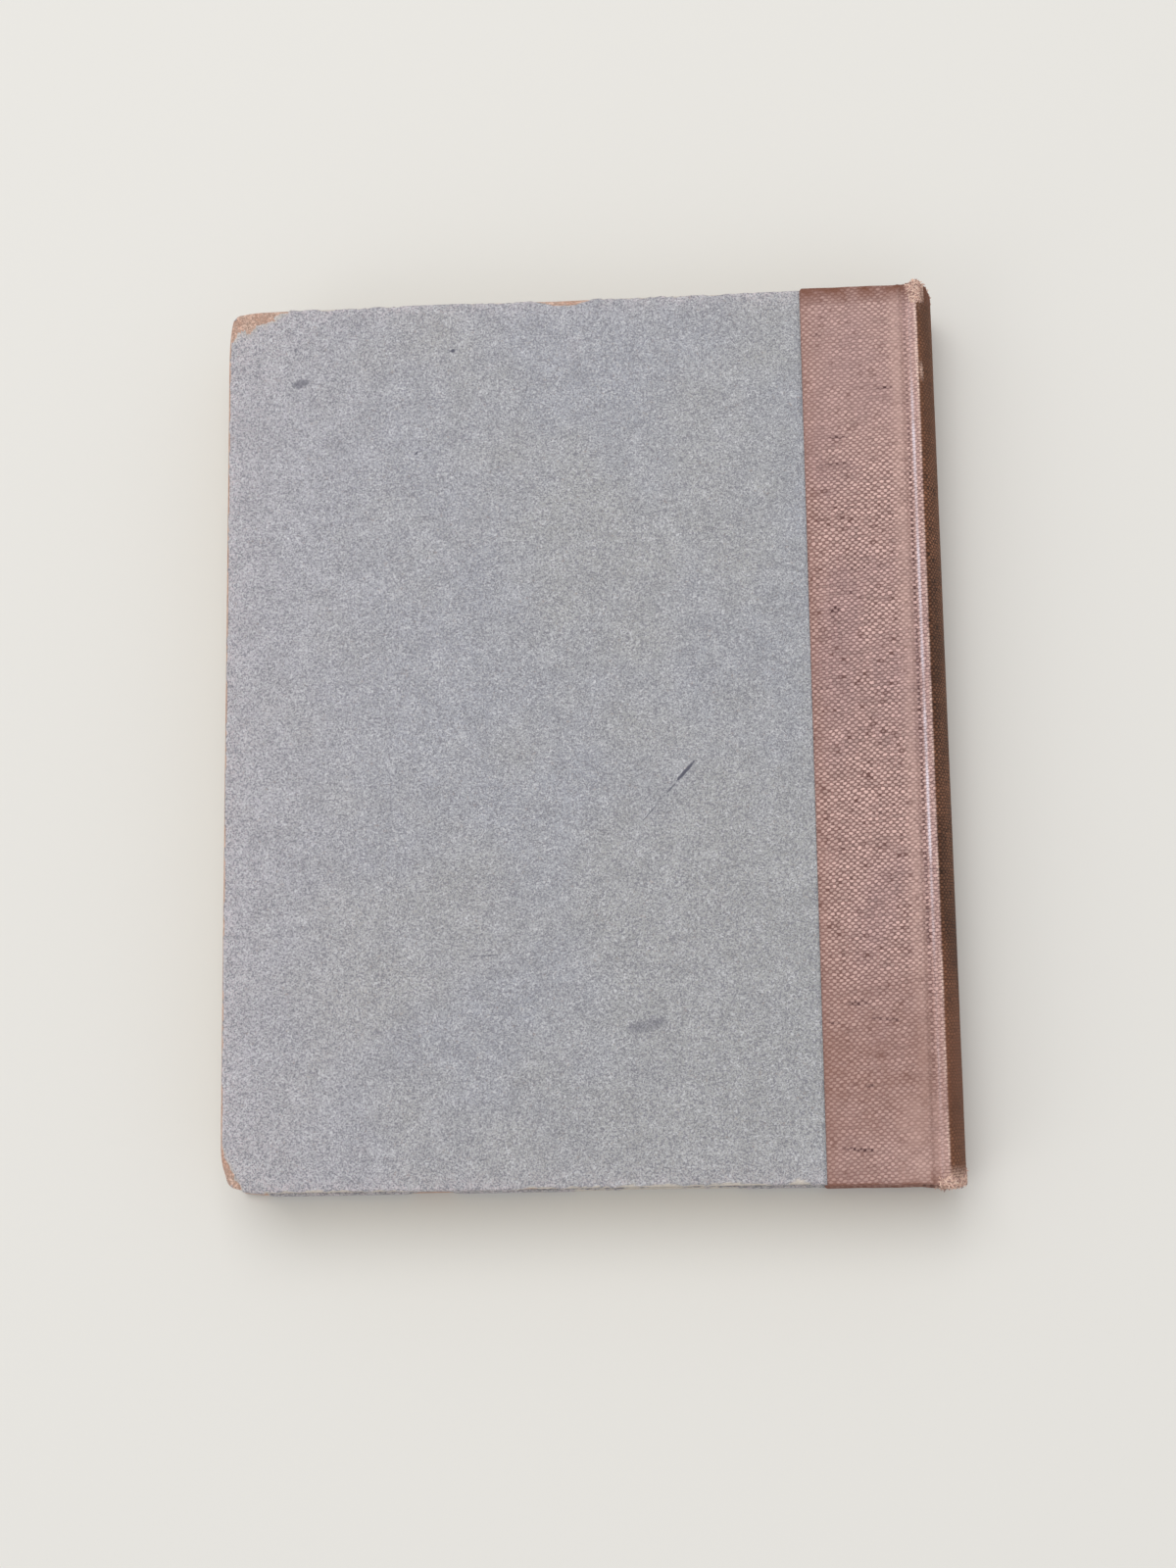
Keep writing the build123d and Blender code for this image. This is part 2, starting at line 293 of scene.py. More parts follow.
def shoulder_line(outset):
    """Surface of the endpapers on one side, from the board's edge up the shoulder to its
    tip, moved outward by outset, as (x, height)."""
    run, rise, root = SHOULDER_X - BOARD_EDGE, SHOULDER_TOP - FOLD_TOP, SHOULDER_ROOT_RADIUS
    flare_radius, turn = level_curve(run, rise, root)
    start = np.array([BOARD_EDGE, FOLD_TOP + outset])
    return follow(start, [(root - outset, turn, 12), (flare_radius + outset, -turn, 12)])


# Material nodes


def add(tree, kind, **settings):
    """Adds a node to a tree."""
    node = tree.nodes.new(kind)
    for key, value in settings.items():
        setattr(node, key, value)
    return node


def feed(socket, value):
    """Links an output to a socket, or sets a plain value on it."""
    if isinstance(value, bpy.types.NodeSocket):
        socket.id_data.links.new(value, socket)
    else:
        socket.default_value = value


def fill(node, **values):
    """Feeds a node's inputs by name, with _ for a space, and gives its outputs."""
    for key, value in values.items():
        feed(node.inputs[key.replace("_", " ")], value)
    return node.outputs


def tree_of(values):
    """The tree that the outputs among some values are in."""
    return next(value.id_data for value in values if isinstance(value, bpy.types.NodeSocket))


def fed(kind, *values, **settings):
    """Adds a node, feeds its first inputs in order and gives its first output."""
    node = add(tree_of(values), kind, **settings)
    for socket, value in zip(node.inputs, values):
        feed(socket, value)
    return node.outputs[0]


def calculate(operation, *values):
    return fed("ShaderNodeMath", *values, operation=operation)


def plus(a, b):
    return calculate("ADD", a, b)


def minus(a, b):
    return calculate("SUBTRACT", a, b)


def times(a, b):
    return calculate("MULTIPLY", a, b)


def larger(a, b):
    return calculate("MAXIMUM", a, b)


def mix(share, low, high, kind="RGBA", first=6, output=2):
    """Colours mixed from low to high by share."""
    node = add(tree_of((share, low, high)), "ShaderNodeMix", data_type=kind)
    for place, value in ((0, share), (first, low), (first + 1, high)):
        feed(node.inputs[place], value)
    return node.outputs[output]


def mix_numbers(share, low, high):
    return mix(share, low, high, "FLOAT", 2, 0)


def ramp(value, low, high, to_low=0.0, to_high=1.0):
    """The value eased from low..high to to_low..to_high, and held outside."""
    return fed("ShaderNodeMapRange", value, low, high, to_low, to_high, interpolation_type="SMOOTHSTEP")


def cloudy(vector, scale, detail=2.0, roughness=0.5, distortion=0.0):
    """Soft noise round 0.5, with scale spots to the metre."""
    node = add(vector.id_data, "ShaderNodeTexNoise")
    return fill(
        node, Vector=vector, Scale=scale, Detail=detail, Roughness=roughness, Distortion=distortion)["Fac"]


def patches(vector, noise, *levels):
    """A ramp of a noise (scale, detail, roughness): soft patches."""
    return ramp(cloudy(vector, *noise), *levels)


def stretched(vector, scale, turn=0.0):
    node = add(vector.id_data, "ShaderNodeMapping")
    return fill(node, Vector=vector, Scale=scale, Rotation=(0, 0, turn))[0]


def moved(vector, by):
    return fed("ShaderNodeVectorMath", vector, by, operation="ADD")


def scaled(vector, factor):
    """A colour or vector times a number."""
    node = add(vector.id_data, "ShaderNodeVectorMath", operation="SCALE")
    return fill(node, Vector=vector, Scale=factor)[0]


def split(vector):
    return fed("ShaderNodeSeparateXYZ", vector).node.outputs


def joined(x, y):
    return fed("ShaderNodeCombineXYZ", x, y)


def attribute(place, name):
    """A value of the mesh's points, in the tree that place is in."""
    return add(place.id_data, "ShaderNodeAttribute", attribute_name=name).outputs["Fac"]


def flat_place(place):
    """Place on the flat sheet, from the UV map."""
    return split(add(place.id_data, "ShaderNodeUVMap", uv_map="Flat").outputs[0])


def use_group(group, **values):
    """Places a node group and gives its outputs."""
    return fill(add(tree_of(values.values()), "ShaderNodeGroup", node_tree=group), **values)


def linear(red, green, blue):
    """A colour written as 0..255 screen values, as the shader's linear colour."""
    return tuple(
        c / 12.92 if c <= 0.04045 else ((c + 0.055) / 1.055) ** 2.4
        for c in (red / 255, green / 255, blue / 255)
    ) + (1.0,)


def new_group(name, inputs, outputs):
    """A shader node group. inputs are name: default or kind, outputs are name: kind."""
    group = bpy.data.node_groups.new(name, "ShaderNodeTree")
    for label, given in inputs.items():
        kind = given if isinstance(given, str) else "Float"
        socket = group.interface.new_socket(label, in_out="INPUT", socket_type=f"NodeSocket{kind}")
        if kind == "Float":
            socket.default_value = given
    for label, kind in outputs.items():
        group.interface.new_socket(label, in_out="OUTPUT", socket_type=f"NodeSocket{kind}")
    return group, add(group, "NodeGroupInput").outputs, add(group, "NodeGroupOutput").inputs


def new_material(name):
    """A material with its Principled shader and Object coordinates."""
    material = bpy.data.materials.new(name)
    material.use_nodes = True
    tree = material.node_tree
    place = add(tree, "ShaderNodeTexCoord").outputs["Object"]
    return material, tree, tree.nodes["Principled BSDF"], place


def make_material(name, look, *given):
    """A material from one of the looks below, which are functions of the place and more.
    Each gives the colour, roughness, gloss, relief, and the relief's depth and strength."""
    material, tree, shader, place = new_material(name)
    colour, roughness, specular, height, depth, strength = look(place, *given)
    bump = fill(add(tree, "ShaderNodeBump"), Height=height, Distance=depth, Strength=strength)[0]
    fill(shader, Base_Color=colour, Roughness=roughness, Specular_IOR_Level=specular, Normal=bump)
    return material


def speckle_group():
    """Fibre specks: a colour full of short curly fibres, pale and dark, with a fine
    grain between, and their relief. A fibre is a thin stretch of the line where a
    twisted noise passes its middle value; a second noise breaks the line up."""
    group, given, put = new_group(
        "Fibre specks",
        {"Vector": "Vector", "Colour": "Color", "Pale": "Color", "Dark": "Color", "Amount": 1.0},
        {"Colour": "Color", "Relief": "Float"})

    def fibres(offset, scale, width, gap):
        vector = moved(given["Vector"], offset)
        from_line = calculate("ABSOLUTE", minus(cloudy(vector, scale, 1.0, 0.5, 0.6), 0.5))
        kept = patches(vector, (scale * 1.3, 0.0, 0.5), gap, gap + 0.1)
        return times(ramp(from_line, width, width * 0.2), kept)

    pale = larger(
        fibres((0.1, 0.3, 0.2), 1150, 0.085, 0.42), fibres((0.7, 0.1, 0.4), 1600, 0.08, 0.46))
    dark = larger(
        fibres((0.4, 0.8, 0.1), 1250, 0.08, 0.42), fibres((0.2, 0.6, 0.9), 1750, 0.075, 0.46))
    grain = cloudy(given["Vector"], 2600, 2.0, 0.6)
    colour = mix(times(pale, given["Amount"]), given["Colour"], given["Pale"])
    colour = mix(times(dark, given["Amount"]), colour, given["Dark"])
    swing = times(ramp(grain, 0.25, 0.75, -0.16, 0.16), given["Amount"])
    feed(put["Colour"], scaled(colour, plus(swing, 1.0)))
    feed(put["Relief"], plus(minus(pale, dark), grain))
    return group


def weave_group():
    """Plain weave. Warp threads run along V and weft threads along U. Each is a hump,
    (1 - (2 * place across it)^2)^0.4, times a cosine rise along it, one phase over for
    each next thread; the weft rises higher, so it shows in longer floats. Height is the
    higher of the two."""
    group, given, put = new_group(
        "Plain weave",
        {"U": 0.0, "V": 0.0, "Warp pitch": 0.00082, "Weft pitch": 0.00073, "Skew": 0.087},
        dict.fromkeys(("Height", "Warp on top", "Warp number", "Weft number"), "Float"))
    across = calculate("DIVIDE", given["U"], given["Warp pitch"])
    slanted = plus(given["V"], times(given["U"], given["Skew"]))
    along = calculate("DIVIDE", slanted, given["Weft pitch"])
    warp_number, weft_number = calculate("FLOOR", across), calculate("FLOOR", along)

    def thread(across_it, along_it, number, low, high, sign):
        part = minus(calculate("FRACT", across_it), 0.5)
        hump = minus(1.0, times(times(part, part), 4.0))
        phase = times(plus(minus(along_it, 0.5), number), math.pi)
        swing = times(calculate("COSINE", phase), sign * (high - low) / 2)
        return times(calculate("POWER", hump, 0.4), plus(swing, (high + low) / 2))

    weft = thread(along, across, weft_number, 0.22, 1.0, 1)
    warp = thread(across, along, warp_number, 0.05, 0.66, -1)
    warp_on_top = ramp(minus(warp, weft), -0.06, 0.06)
    for socket, value in zip(put, (larger(warp, weft), warp_on_top, warp_number, weft_number)):
        feed(socket, value)
    return group


SPECKS = speckle_group()
WEAVE = weave_group()

# Colours, as screen values
BLUE_GREY_COOL = linear(163, 165, 173)
BLUE_GREY_WARM = linear(169, 169, 169)
PALE_FIBRE = linear(197, 197, 200)
DARK_FIBRE = linear(136, 135, 142)
OCHRE_FLECK = linear(162, 146, 138)
RUBBED_PAPER = linear(204, 193, 197)
TORN_PAPER = linear(218, 208, 194)
SMUDGE = linear(96, 96, 108)
STRAW = linear(226, 192, 174)
STRAW_DEEP = linear(216, 174, 154)
STRAW_PALE = linear(230, 208, 194)
STRAW_DARK = linear(190, 148, 124)
CLOTH_THREAD = linear(204, 171, 163)
CLOTH_WARP = linear(150, 117, 112)
CLOTH_BAND = linear(200, 166, 156)
CLOTH_PURPLE = linear(168, 138, 138)
# Painted shade in the gaps between the threads
CLOTH_GAP_SHADE = linear(96, 64, 60)
CLOTH_BROWN = linear(146, 106, 92)
CLOTH_SOILED = linear(120, 78, 62)
FRAYED = linear(226, 190, 172)
FRAYED_PALE = linear(240, 214, 198)
SLUB = linear(216, 190, 180)
# The spine's colours: its browner, less faded cloth, darkened further by painted shade where its side turns
# from the light; the last is painted shade between its threads
SPINE_THREAD = linear(134, 92, 69)
SPINE_WARP = linear(104, 66, 48)
SPINE_GAP_SHADE = linear(40, 25, 18)
# Rubbed pale cloth on the ridge, with a painted sheen on its raised threads
RIDGE_RUB_AND_SHEEN = linear(212, 174, 166)
# A painted highlight: near-white sheen along the ridge's flank
RIDGE_HIGHLIGHT = linear(240, 231, 241)
# A painted highlight: bright dots along the ridge's crest
CREST_HIGHLIGHT = linear(238, 208, 194)
# Painted shade for the joint's valley and under frayed threads; also the dark of the stitched marks
DARK_MARK_AND_SHADE = linear(84, 58, 58)
LEAF_EDGE = linear(224, 210, 184)
LEAF_EDGE_DARK = linear(214, 198, 168)
LEAF_GAP = linear(170, 146, 114)
LEAF_DUST = linear(164, 152, 134)
ENDPAPER = linear(224, 214, 192)
ENDPAPER_DARK = linear(216, 203, 178)
ENDPAPER_TONED = linear(192, 168, 132)
FOXED = linear(176, 138, 96)
GAUZE = linear(214, 205, 182)
GAUZE_HOLE = linear(150, 128, 98)
KRAFT = linear(160, 122, 86)
KRAFT_DARK = linear(136, 100, 68)
CARD = linear(172, 150, 118)
CARD_DARK = linear(152, 128, 98)
FLOOR = linear(226, 224, 219)

# Marks on the back cover's paper, in millimetres: centre x, y, half length, half width,
# turn in radians, darkness
PAPER_MARKS = [
    (-70.4, 91, 2.3, 1.3, 0.3, 0.55), (-71.7, 99.9, 0.8, 0.4, 1.4, 0.6), (-31.8, 98.3, 0.7, 0.55, 0.2, 1),
    (-41, 71.8, 0.8, 0.3, 0.8, 0.95), (-1.2, 70.1, 0.8, 0.5, 0, 0.6), (24.6, -11, 3.6, 0.42, 0.83, 1),
    (20.6, -15.6, 2.2, 0.2, 0.83, 0.8), (15.6, -21.2, 3, 0.2, 0.84, 0.75),
    (13.8, -72.8, 5.4, 1.5, 0.18, 0.4), (17, -71.6, 1.9, 0.8, 0.3, 0.45),
    (-24.8, -55.1, 4.2, 0.22, 0.02, 0.5), (45, 98, 1.2, 0.4, 0.4, 0.35), (-60, -20, 1.6, 0.4, 1.2, 0.25),
    (8, 40, 1, 0.35, 0.4, 0.35), (-20, -92, 1.1, 0.4, 2.2, 0.35),
]

# Marks on the back cover's cloth, in the same way: most are rows of dark stitches
CLOTH_MARKS = [
    (61.9, 28.1, 1.7, 1, 0.5, 1), (61.7, 26, 0.8, 1, 0, 0.5), (65.9, 32.4, 1, 0.5, 0, 0.8),
    (64.1, 72.1, 2.4, 0.45, 0, 0.9), (63.1, 65.3, 3.4, 0.4, 0.05, 0.9), (76, 84.6, 1.9, 0.45, 0.05, 1),
    (59.4, 98.9, 1.6, 0.6, 0, 0.6), (63.6, -102.9, 4.2, 0.5, -0.1, 1), (64.2, -68.4, 3, 0.7, 0, 0.9),
    (71.6, -72.4, 4.6, 0.45, -0.1, 0.7), (58.8, -73, 1.6, 0.45, 0, 0.8), (66.4, -88, 1.2, 0.5, 0, 0.8),
    (68, 38.5, 2, 0.4, 0.05, 0.6), (58.5, 8.5, 2.6, 0.4, 0.05, 0.55), (71, -22.5, 2.2, 0.4, 0.03, 0.5),
    (66, 54, 1.5, 0.4, 0.03, 0.6),
]


def mark_mask(place, marks):
    """Darkness of a list of marks: each is an ellipse in plan with a ragged outline."""
    ragged = times(minus(cloudy(place, 900, 3.0, 0.6), 0.5), 2.4)
    total = 0.0
    for x, y, half_long, half_wide, turn, dark in marks:
        flat = split(stretched(moved(place, (-x * MM, -y * MM, 0)), (1, 1, 1), -turn))
        parts = [calculate("DIVIDE", flat[i], half * MM) for i, half in enumerate((half_long, half_wide))]
        reach = plus(*(times(part, part) for part in parts))
        total = larger(total, ramp(plus(reach, ragged), 0.3, 1.3, dark, 0.0))
    return total


def paper_look(place, marks):
    """Blue-grey paper: cooler and paler towards the fore-edge and head, mottled, full of
    fibres, rubbed pinkish at its edges and torn pale where it has split."""
    flat = split(place)
    slant = minus(flat[0], times(flat[1], 0.7))
    patch = cloudy(place, 150, 3.0, 0.6)
    warm = plus(cloudy(place, 26, 4.0, 0.6), ramp(slant, -0.15, 0.13, -0.12, 0.1))
    base = mix(ramp(warm, 0.34, 0.66), BLUE_GREY_COOL, BLUE_GREY_WARM)
    base = mix(times(attribute(place, "Handled"), 0.6), base, RUBBED_PAPER)
    rub = times(attribute(place, "Rub"), patches(place, (420, 4.0, 0.65), 0.3, 0.62))
    scuff = patches(stretched(place, (1, 0.6, 1)), (55, 5.0, 0.7), 0.6, 0.76, 0.0, 0.55)
    scuff = times(scuff, attribute(place, "Rub wide"))
    base = mix(larger(rub, scuff), base, RUBBED_PAPER)
    specks = use_group(SPECKS, Vector=place, Colour=base, Pale=PALE_FIBRE, Dark=DARK_FIBRE, Amount=0.95)
    colour = scaled(specks[0], ramp(slant, -0.15, 0.13, 1.026, 0.97))
    colour = scaled(colour, ramp(patch, 0.34, 0.66, 0.95, 1.05))
    clump = patches(moved(place, (0.6, 0.2, 0)), (620, 2.0, 0.6), 0.32, 0.68, 0.955, 1.045)
    colour = scaled(colour, clump)
    ochre = patches(moved(place, (0.3, 0.1, 0)), (1300, 2.0, 0.6), 0.64, 0.74, 0.0, 0.5)
    colour = mix(ochre, colour, OCHRE_FLECK)
    if marks:
        colour = mix(mark_mask(place, marks), colour, SMUDGE)
    colour = mix(attribute(place, "Torn"), colour, TORN_PAPER)
    return colour, ramp(patch, 0.2, 0.8, 0.72, 0.86), 0.25, specks[1], 0.00012, 0.55


def cloth_look(place, marks):
    """Coarse linen canvas dyed terracotta: woven threads with slubs and painted shade in the
    gaps between them, mottled and soiled on the sides, dark on the spine from its browner
    cloth and painted shade, rubbed pale and shiny along the ridge with a painted sheen and
    painted highlights, and painted shade in the joint's valley and under frayed threads.
    layers are the shares and colours laid over the weave, from the first to the last."""

    def uneven(line, start):
        sway = minus(cloudy(moved(place, (start, 0, 0)), 170, 4.0, 0.72), 0.5)
        return plus(line, times(sway, 0.0019))

    def thread_tone(u, u_scale, v, v_scale):
        return cloudy(joined(times(u, u_scale), times(v, v_scale)), 1.0, 3.0, 0.6)

    flat = flat_place(place)
    across, along = uneven(flat[0], 0.0), uneven(flat[1], 0.37)
    height, warp_top, warp_number, weft_number = use_group(WEAVE, U=across, V=along)
    weft_tone = thread_tone(across, 150, weft_number, 5.17)
    warp_tone = thread_tone(warp_number, 7.31, along, 110)
    tone = mix_numbers(warp_top, weft_tone, warp_tone)
    raised = plus(height, tone)
    shade, ridge, tatter = (attribute(place, key) for key in ("Shade", "Ridge rub and sheen", "Frayed"))

    # On the spine (shade) the threads take the spine's browner colours with painted shade
    weft_colour = mix(shade, CLOTH_THREAD, SPINE_THREAD)
    warp_colour = mix(shade, CLOTH_WARP, SPINE_WARP)
    plain = mix(0.5, weft_colour, warp_colour)
    contrast = patches(moved(place, (0.5, 0.2, 0)), (75, 4.0, 0.65), 0.36, 0.6, 0.74, 1.0)
    thread = mix(contrast, plain, mix(warp_top, weft_colour, warp_colour))
    zone = patches(stretched(place, (1, 0.55, 1)), (55, 4.0, 0.6), 0.42, 0.66)
    thread = mix(times(zone, 0.5), thread, mix(shade, CLOTH_PURPLE, SPINE_GAP_SHADE))
    thread = scaled(thread, ramp(tone, 0.25, 0.75, 0.7, 1.25))
    # Painted shade on each thread: its low parts darker, its tops lighter
    thread = scaled(thread, ramp(height, 0.35, 1.0, 0.8, 1.14))
    thread = mix(ramp(tone, 0.68, 0.8, 0.0, 0.5), thread, mix(shade, SLUB, SPINE_THREAD))

    # Painted shade between the threads, deeper on the spine; the dashes below use it too
    gap = mix(shade, CLOTH_GAP_SHADE, SPINE_GAP_SHADE)
    colour = mix(ramp(minus(height, times(shade, 0.07)), 0.12, 0.6), gap, thread)
    dash_place = joined(times(across, 330), times(weft_number, 3.71))
    dash = patches(dash_place, (1.0, 1.0, 0.5), 0.61, 0.72, 0.0, 0.8)
    near_end = ramp(calculate("ABSOLUTE", split(place)[1]), 0.05, 0.085, 0.0, 0.32)
    flattened = patches(place, (300, 3.0, 0.6), 0.3, 0.6, 0.4, 1.0)
    grime = patches(place, (210, 5.0, 0.65), 0.35, 0.6, 0.55, 1.0)
    glint = ramp(plus(height, cloudy(place, 700, 3.0, 0.6)), 0.85, 1.35)
    lifted = ramp(plus(height, cloudy(place, 900, 3.0, 0.65)), 0.75, 1.15)
    layers = [
        (times(dash, ramp(height, 1.0, 0.5, 0.35, 1.0)), gap),
        (near_end, plain),
        (times(attribute(place, "Seam"), 0.4), CLOTH_BROWN),
        (times(times(attribute(place, "Band"), flattened), 0.42), CLOTH_BAND),
        (times(attribute(place, "Soil"), grime), CLOTH_SOILED),
        # The ridge: rubbed pale cloth, with a painted sheen on the thread tops (glint)
        (times(ridge, glint), RIDGE_RUB_AND_SHEEN),
        # A painted highlight on the raised threads of the ridge's crest
        (times(attribute(place, "Crest highlight"), ramp(raised, 0.75, 1.25)), CREST_HIGHLIGHT),
        # Painted shade: a dark dotted line on the low threads in the joint's valley
        (times(attribute(place, "Valley shade"), ramp(raised, 1.35, 0.75)), DARK_MARK_AND_SHADE),
        # A painted highlight line along the ridge's flank, on the thread tops
        (times(attribute(place, "Ridge highlight"), ramp(height, 0.2, 0.7, 0.25, 1.0)), RIDGE_HIGHLIGHT),
        # Frayed patches: painted shade under the loose threads, then the lifted threads in their own pale
        # colour
        (times(tatter, 0.7), DARK_MARK_AND_SHADE),
        (times(tatter, lifted), FRAYED),
    ]
    if marks:
        stitch = larger(times(warp_top, ramp(height, 0.2, 0.5)), 0.35)
        layers.append((times(mark_mask(place, marks), stitch), DARK_MARK_AND_SHADE))
    for share, top in layers:
        colour = mix(share, colour, top)
    fuzz = times(cloudy(place, 3200, 2.0, 0.6), 0.35)
    rough = minus(0.82, times(ridge, 0.26))
    return colour, rough, 0.22, plus(height, fuzz), 0.00016, 0.8


def fibre_look(place, base, second, pale, dark, amount, relief=0.6):
    """A plain felted sheet, such as strawboard, card or brown paper."""
    cloud = cloudy(place, 160, 4.0, 0.6)
    mottled = mix(ramp(cloud, 0.35, 0.68), base, second)
    specks = use_group(SPECKS, Vector=place, Colour=mottled, Pale=pale, Dark=dark, Amount=amount)
    height = plus(specks[1], times(cloud, 3.0))
    return specks[0], ramp(cloud, 0.2, 0.8, 0.79, 0.91), 0.2, height, 0.00018, relief


def thread_look(place):
    """Loose thread ends, each a little paler or redder than the next."""
    tone = attribute(place, "Tone")
    colour = mix(ramp(tone, 0.4, 1.0), FRAYED, CLOTH_WARP)
    colour = mix(ramp(tone, 0.0, 0.35, 0.8, 0.0), colour, FRAYED_PALE)
    grain = cloudy(place, 4000, 2.0, 0.6)
    colour = scaled(colour, ramp(grain, 0.2, 0.8, 0.85, 1.1))
    return colour, 0.8, 0.2, grain, 0.00005, 0.4


def endpaper_look(place):
    """Toned white endpaper: browner towards its edges and along the fold, with a few
    rusty spots and a faint grain."""
    cloud = cloudy(place, 22, 4.0, 0.6)
    base = mix(ramp(cloud, 0.35, 0.65), ENDPAPER, ENDPAPER_DARK)
    edge = times(attribute(place, "Rub"), patches(place, (70, 4.0, 0.6), 0.3, 0.7, 0.4, 1.0))
    base = mix(edge, base, ENDPAPER_TONED)
    specks = use_group(SPECKS, Vector=place, Colour=base, Pale=ENDPAPER, Dark=ENDPAPER_TONED, Amount=0.3)
    gathered = patches(moved(place, (0.2, 0.4, 0)), (30, 2.0, 0.5), 0.5, 0.62)
    spots = times(patches(place, (190, 3.0, 0.7), 0.7, 0.8, 0.0, 0.6), gathered)
    colour = mix(spots, specks[0], FOXED)
    return colour, ramp(cloud, 0.2, 0.8, 0.62, 0.72), 0.3, specks[1], 0.00006, 0.35


def leaf_look(place):
    """Cut edges of the leaves: fine lines between leaves, sections in slightly different
    tones, browner outside and dusty at the head. UV v runs through the thickness."""
    run, level = flat_place(place)[:2]
    leaf, group, section = (
        cloudy(joined(times(run, along), times(level, through)), 1.0, 2.0, 0.6)
        for along, through in ((50, 8000), (30, 2600), (12, 500))
    )
    leaf = plus(times(leaf, 0.55), times(group, 0.45))
    colour = mix(ramp(section, 0.36, 0.64), LEAF_EDGE, LEAF_EDGE_DARK)
    colour = mix(ramp(leaf, 0.5, 0.66, 0.0, 0.8), colour, LEAF_GAP)
    outer = calculate("POWER", attribute(place, "Outer"), 5.0)
    colour = mix(times(outer, 0.6), colour, LEAF_GAP)
    dust = times(attribute(place, "Dust"), patches(place, (60, 5.0, 0.65), 0.3, 0.7, 0.25, 1.0))
    colour = mix(times(dust, 0.5), colour, LEAF_DUST)
    colour = mix(patches(place, (260, 3.0, 0.7), 0.68, 0.78, 0.0, 0.7), colour, FOXED)
    return colour, ramp(leaf, 0.2, 0.8, 0.7, 0.85), 0.2, leaf, 0.00012, 0.7


def gauze_look(place):
    """Starched open gauze soaked with glue: a coarse weave, threads pale, holes darker."""
    flat = split(place)
    height = use_group(
        WEAVE, U=plus(flat[0], flat[2]), V=flat[1], Warp_pitch=0.0011, Weft_pitch=0.0012)[0]
    stain = cloudy(place, 120, 4.0, 0.6)
    colour = mix(ramp(height, 0.15, 0.6), GAUZE_HOLE, GAUZE)
    colour = mix(ramp(stain, 0.5, 0.75, 0.0, 0.5), colour, KRAFT)
    return colour, ramp(stain, 0.2, 0.8, 0.7, 0.88), 0.5, height, 0.0002, 0.8


# Boards and side papers


def rim_plan(left, right, half, corner, insets, straight, fore):
    """Rings round three sides of a cover. Each ring runs from the spine edge along the
    tail, round the corner, along the fore-edge, and back along the head, set in by its
    inset; its corners have radius corner - inset. Returns x and y, one row a ring, and
    the outward direction in plan for each place along a ring."""
    insets = np.asarray(insets, float)[:, None]
    radius = np.minimum(np.maximum(corner - insets, 0.3 * MM), half - insets)
    share = 1 - (1 - np.linspace(0, 1, straight))[:-1] ** 1.4
    turn = np.linspace(0, 1, 8)[:-1] * math.pi / 2
    centre_x, centre_y = left + insets + radius, half - insets - radius
    tail_x = right + share * (centre_x - right)
    tail_y = np.broadcast_to(insets - half, tail_x.shape)
    corner_x, corner_y = centre_x - radius * np.sin(turn), -centre_y - radius * np.cos(turn)
    fore_y = centre_y * np.linspace(-1, 1, fore)
    fore_x = np.broadcast_to(left + insets, fore_y.shape)
    x = np.concatenate([tail_x, corner_x, fore_x, corner_x[:, ::-1], tail_x[:, ::-1]], 1)
    y = np.concatenate([tail_y, corner_y, fore_y, -corner_y[:, ::-1], -tail_y[:, ::-1]], 1)
    level = 0 * share
    out_x = np.concatenate([level, -np.sin(turn), np.full(fore, -1.0), -np.sin(turn)[::-1], level])
    out_y = np.concatenate([level - 1, -np.cos(turn), np.zeros(fore), np.cos(turn)[::-1], level + 1])
    return x, y, out_x, out_y


def rim_profile(top, bottom, radius, top_insets, under_insets, steps):
    """Section of a cover's edge: in from the top, round the edge, and in underneath.
    Returns insets, heights and the outward direction (out, up) of each step."""
    angle = np.linspace(0, math.pi / 2, steps)
    sine, cosine = np.sin(angle), np.cos(angle)
    face = np.linspace(0, 1, 5)[1:-1]
    high, low = top - radius, bottom + radius
    over, under = 0 * top_insets, 0 * under_insets
    inset = np.concatenate([top_insets, radius * (1 - sine), 0 * face, radius * (1 - cosine), under_insets])
    height = np.concatenate([
        over + top, high + radius * cosine, high + face * (low - high), low - radius * sine, under + bottom])
    out = np.concatenate([over, sine, 0 * face + 1, cosine, under])
    up = np.concatenate([over + 1, cosine, 0 * face, -sine, under - 1])
    return inset, height, out, up


def bite(x, y, end, sizes):
    """How far inside a shallow bite in the head (end 1) or tail (-1) edge x, y lies: its
    depth times 1 - (distance from its middle / half width) squared, less the way in."""
    middle, half_width, depth = (size * MM for size in sizes)
    return depth * (1 - ((x - middle) / half_width) ** 2) - (PAPER_HALF - end * y)


def flakes(x, y, worn):
    """Where the paper's edge has split and shows its pale inside, near 0 there."""
    ragged = rough_noise(x, y, 2.4, 11, 5) + 0.7 * rough_noise(x, y, 0.9, 23, 3)
    total = np.full(np.shape(x + y), -9.0)
    for end, *sizes in worn["flakes"]:
        lift = bite(x, y, end, sizes) / (1.2 * MM)
        total = np.maximum(total, np.minimum(lift + 0.5 * ragged, 0.02))
    return total


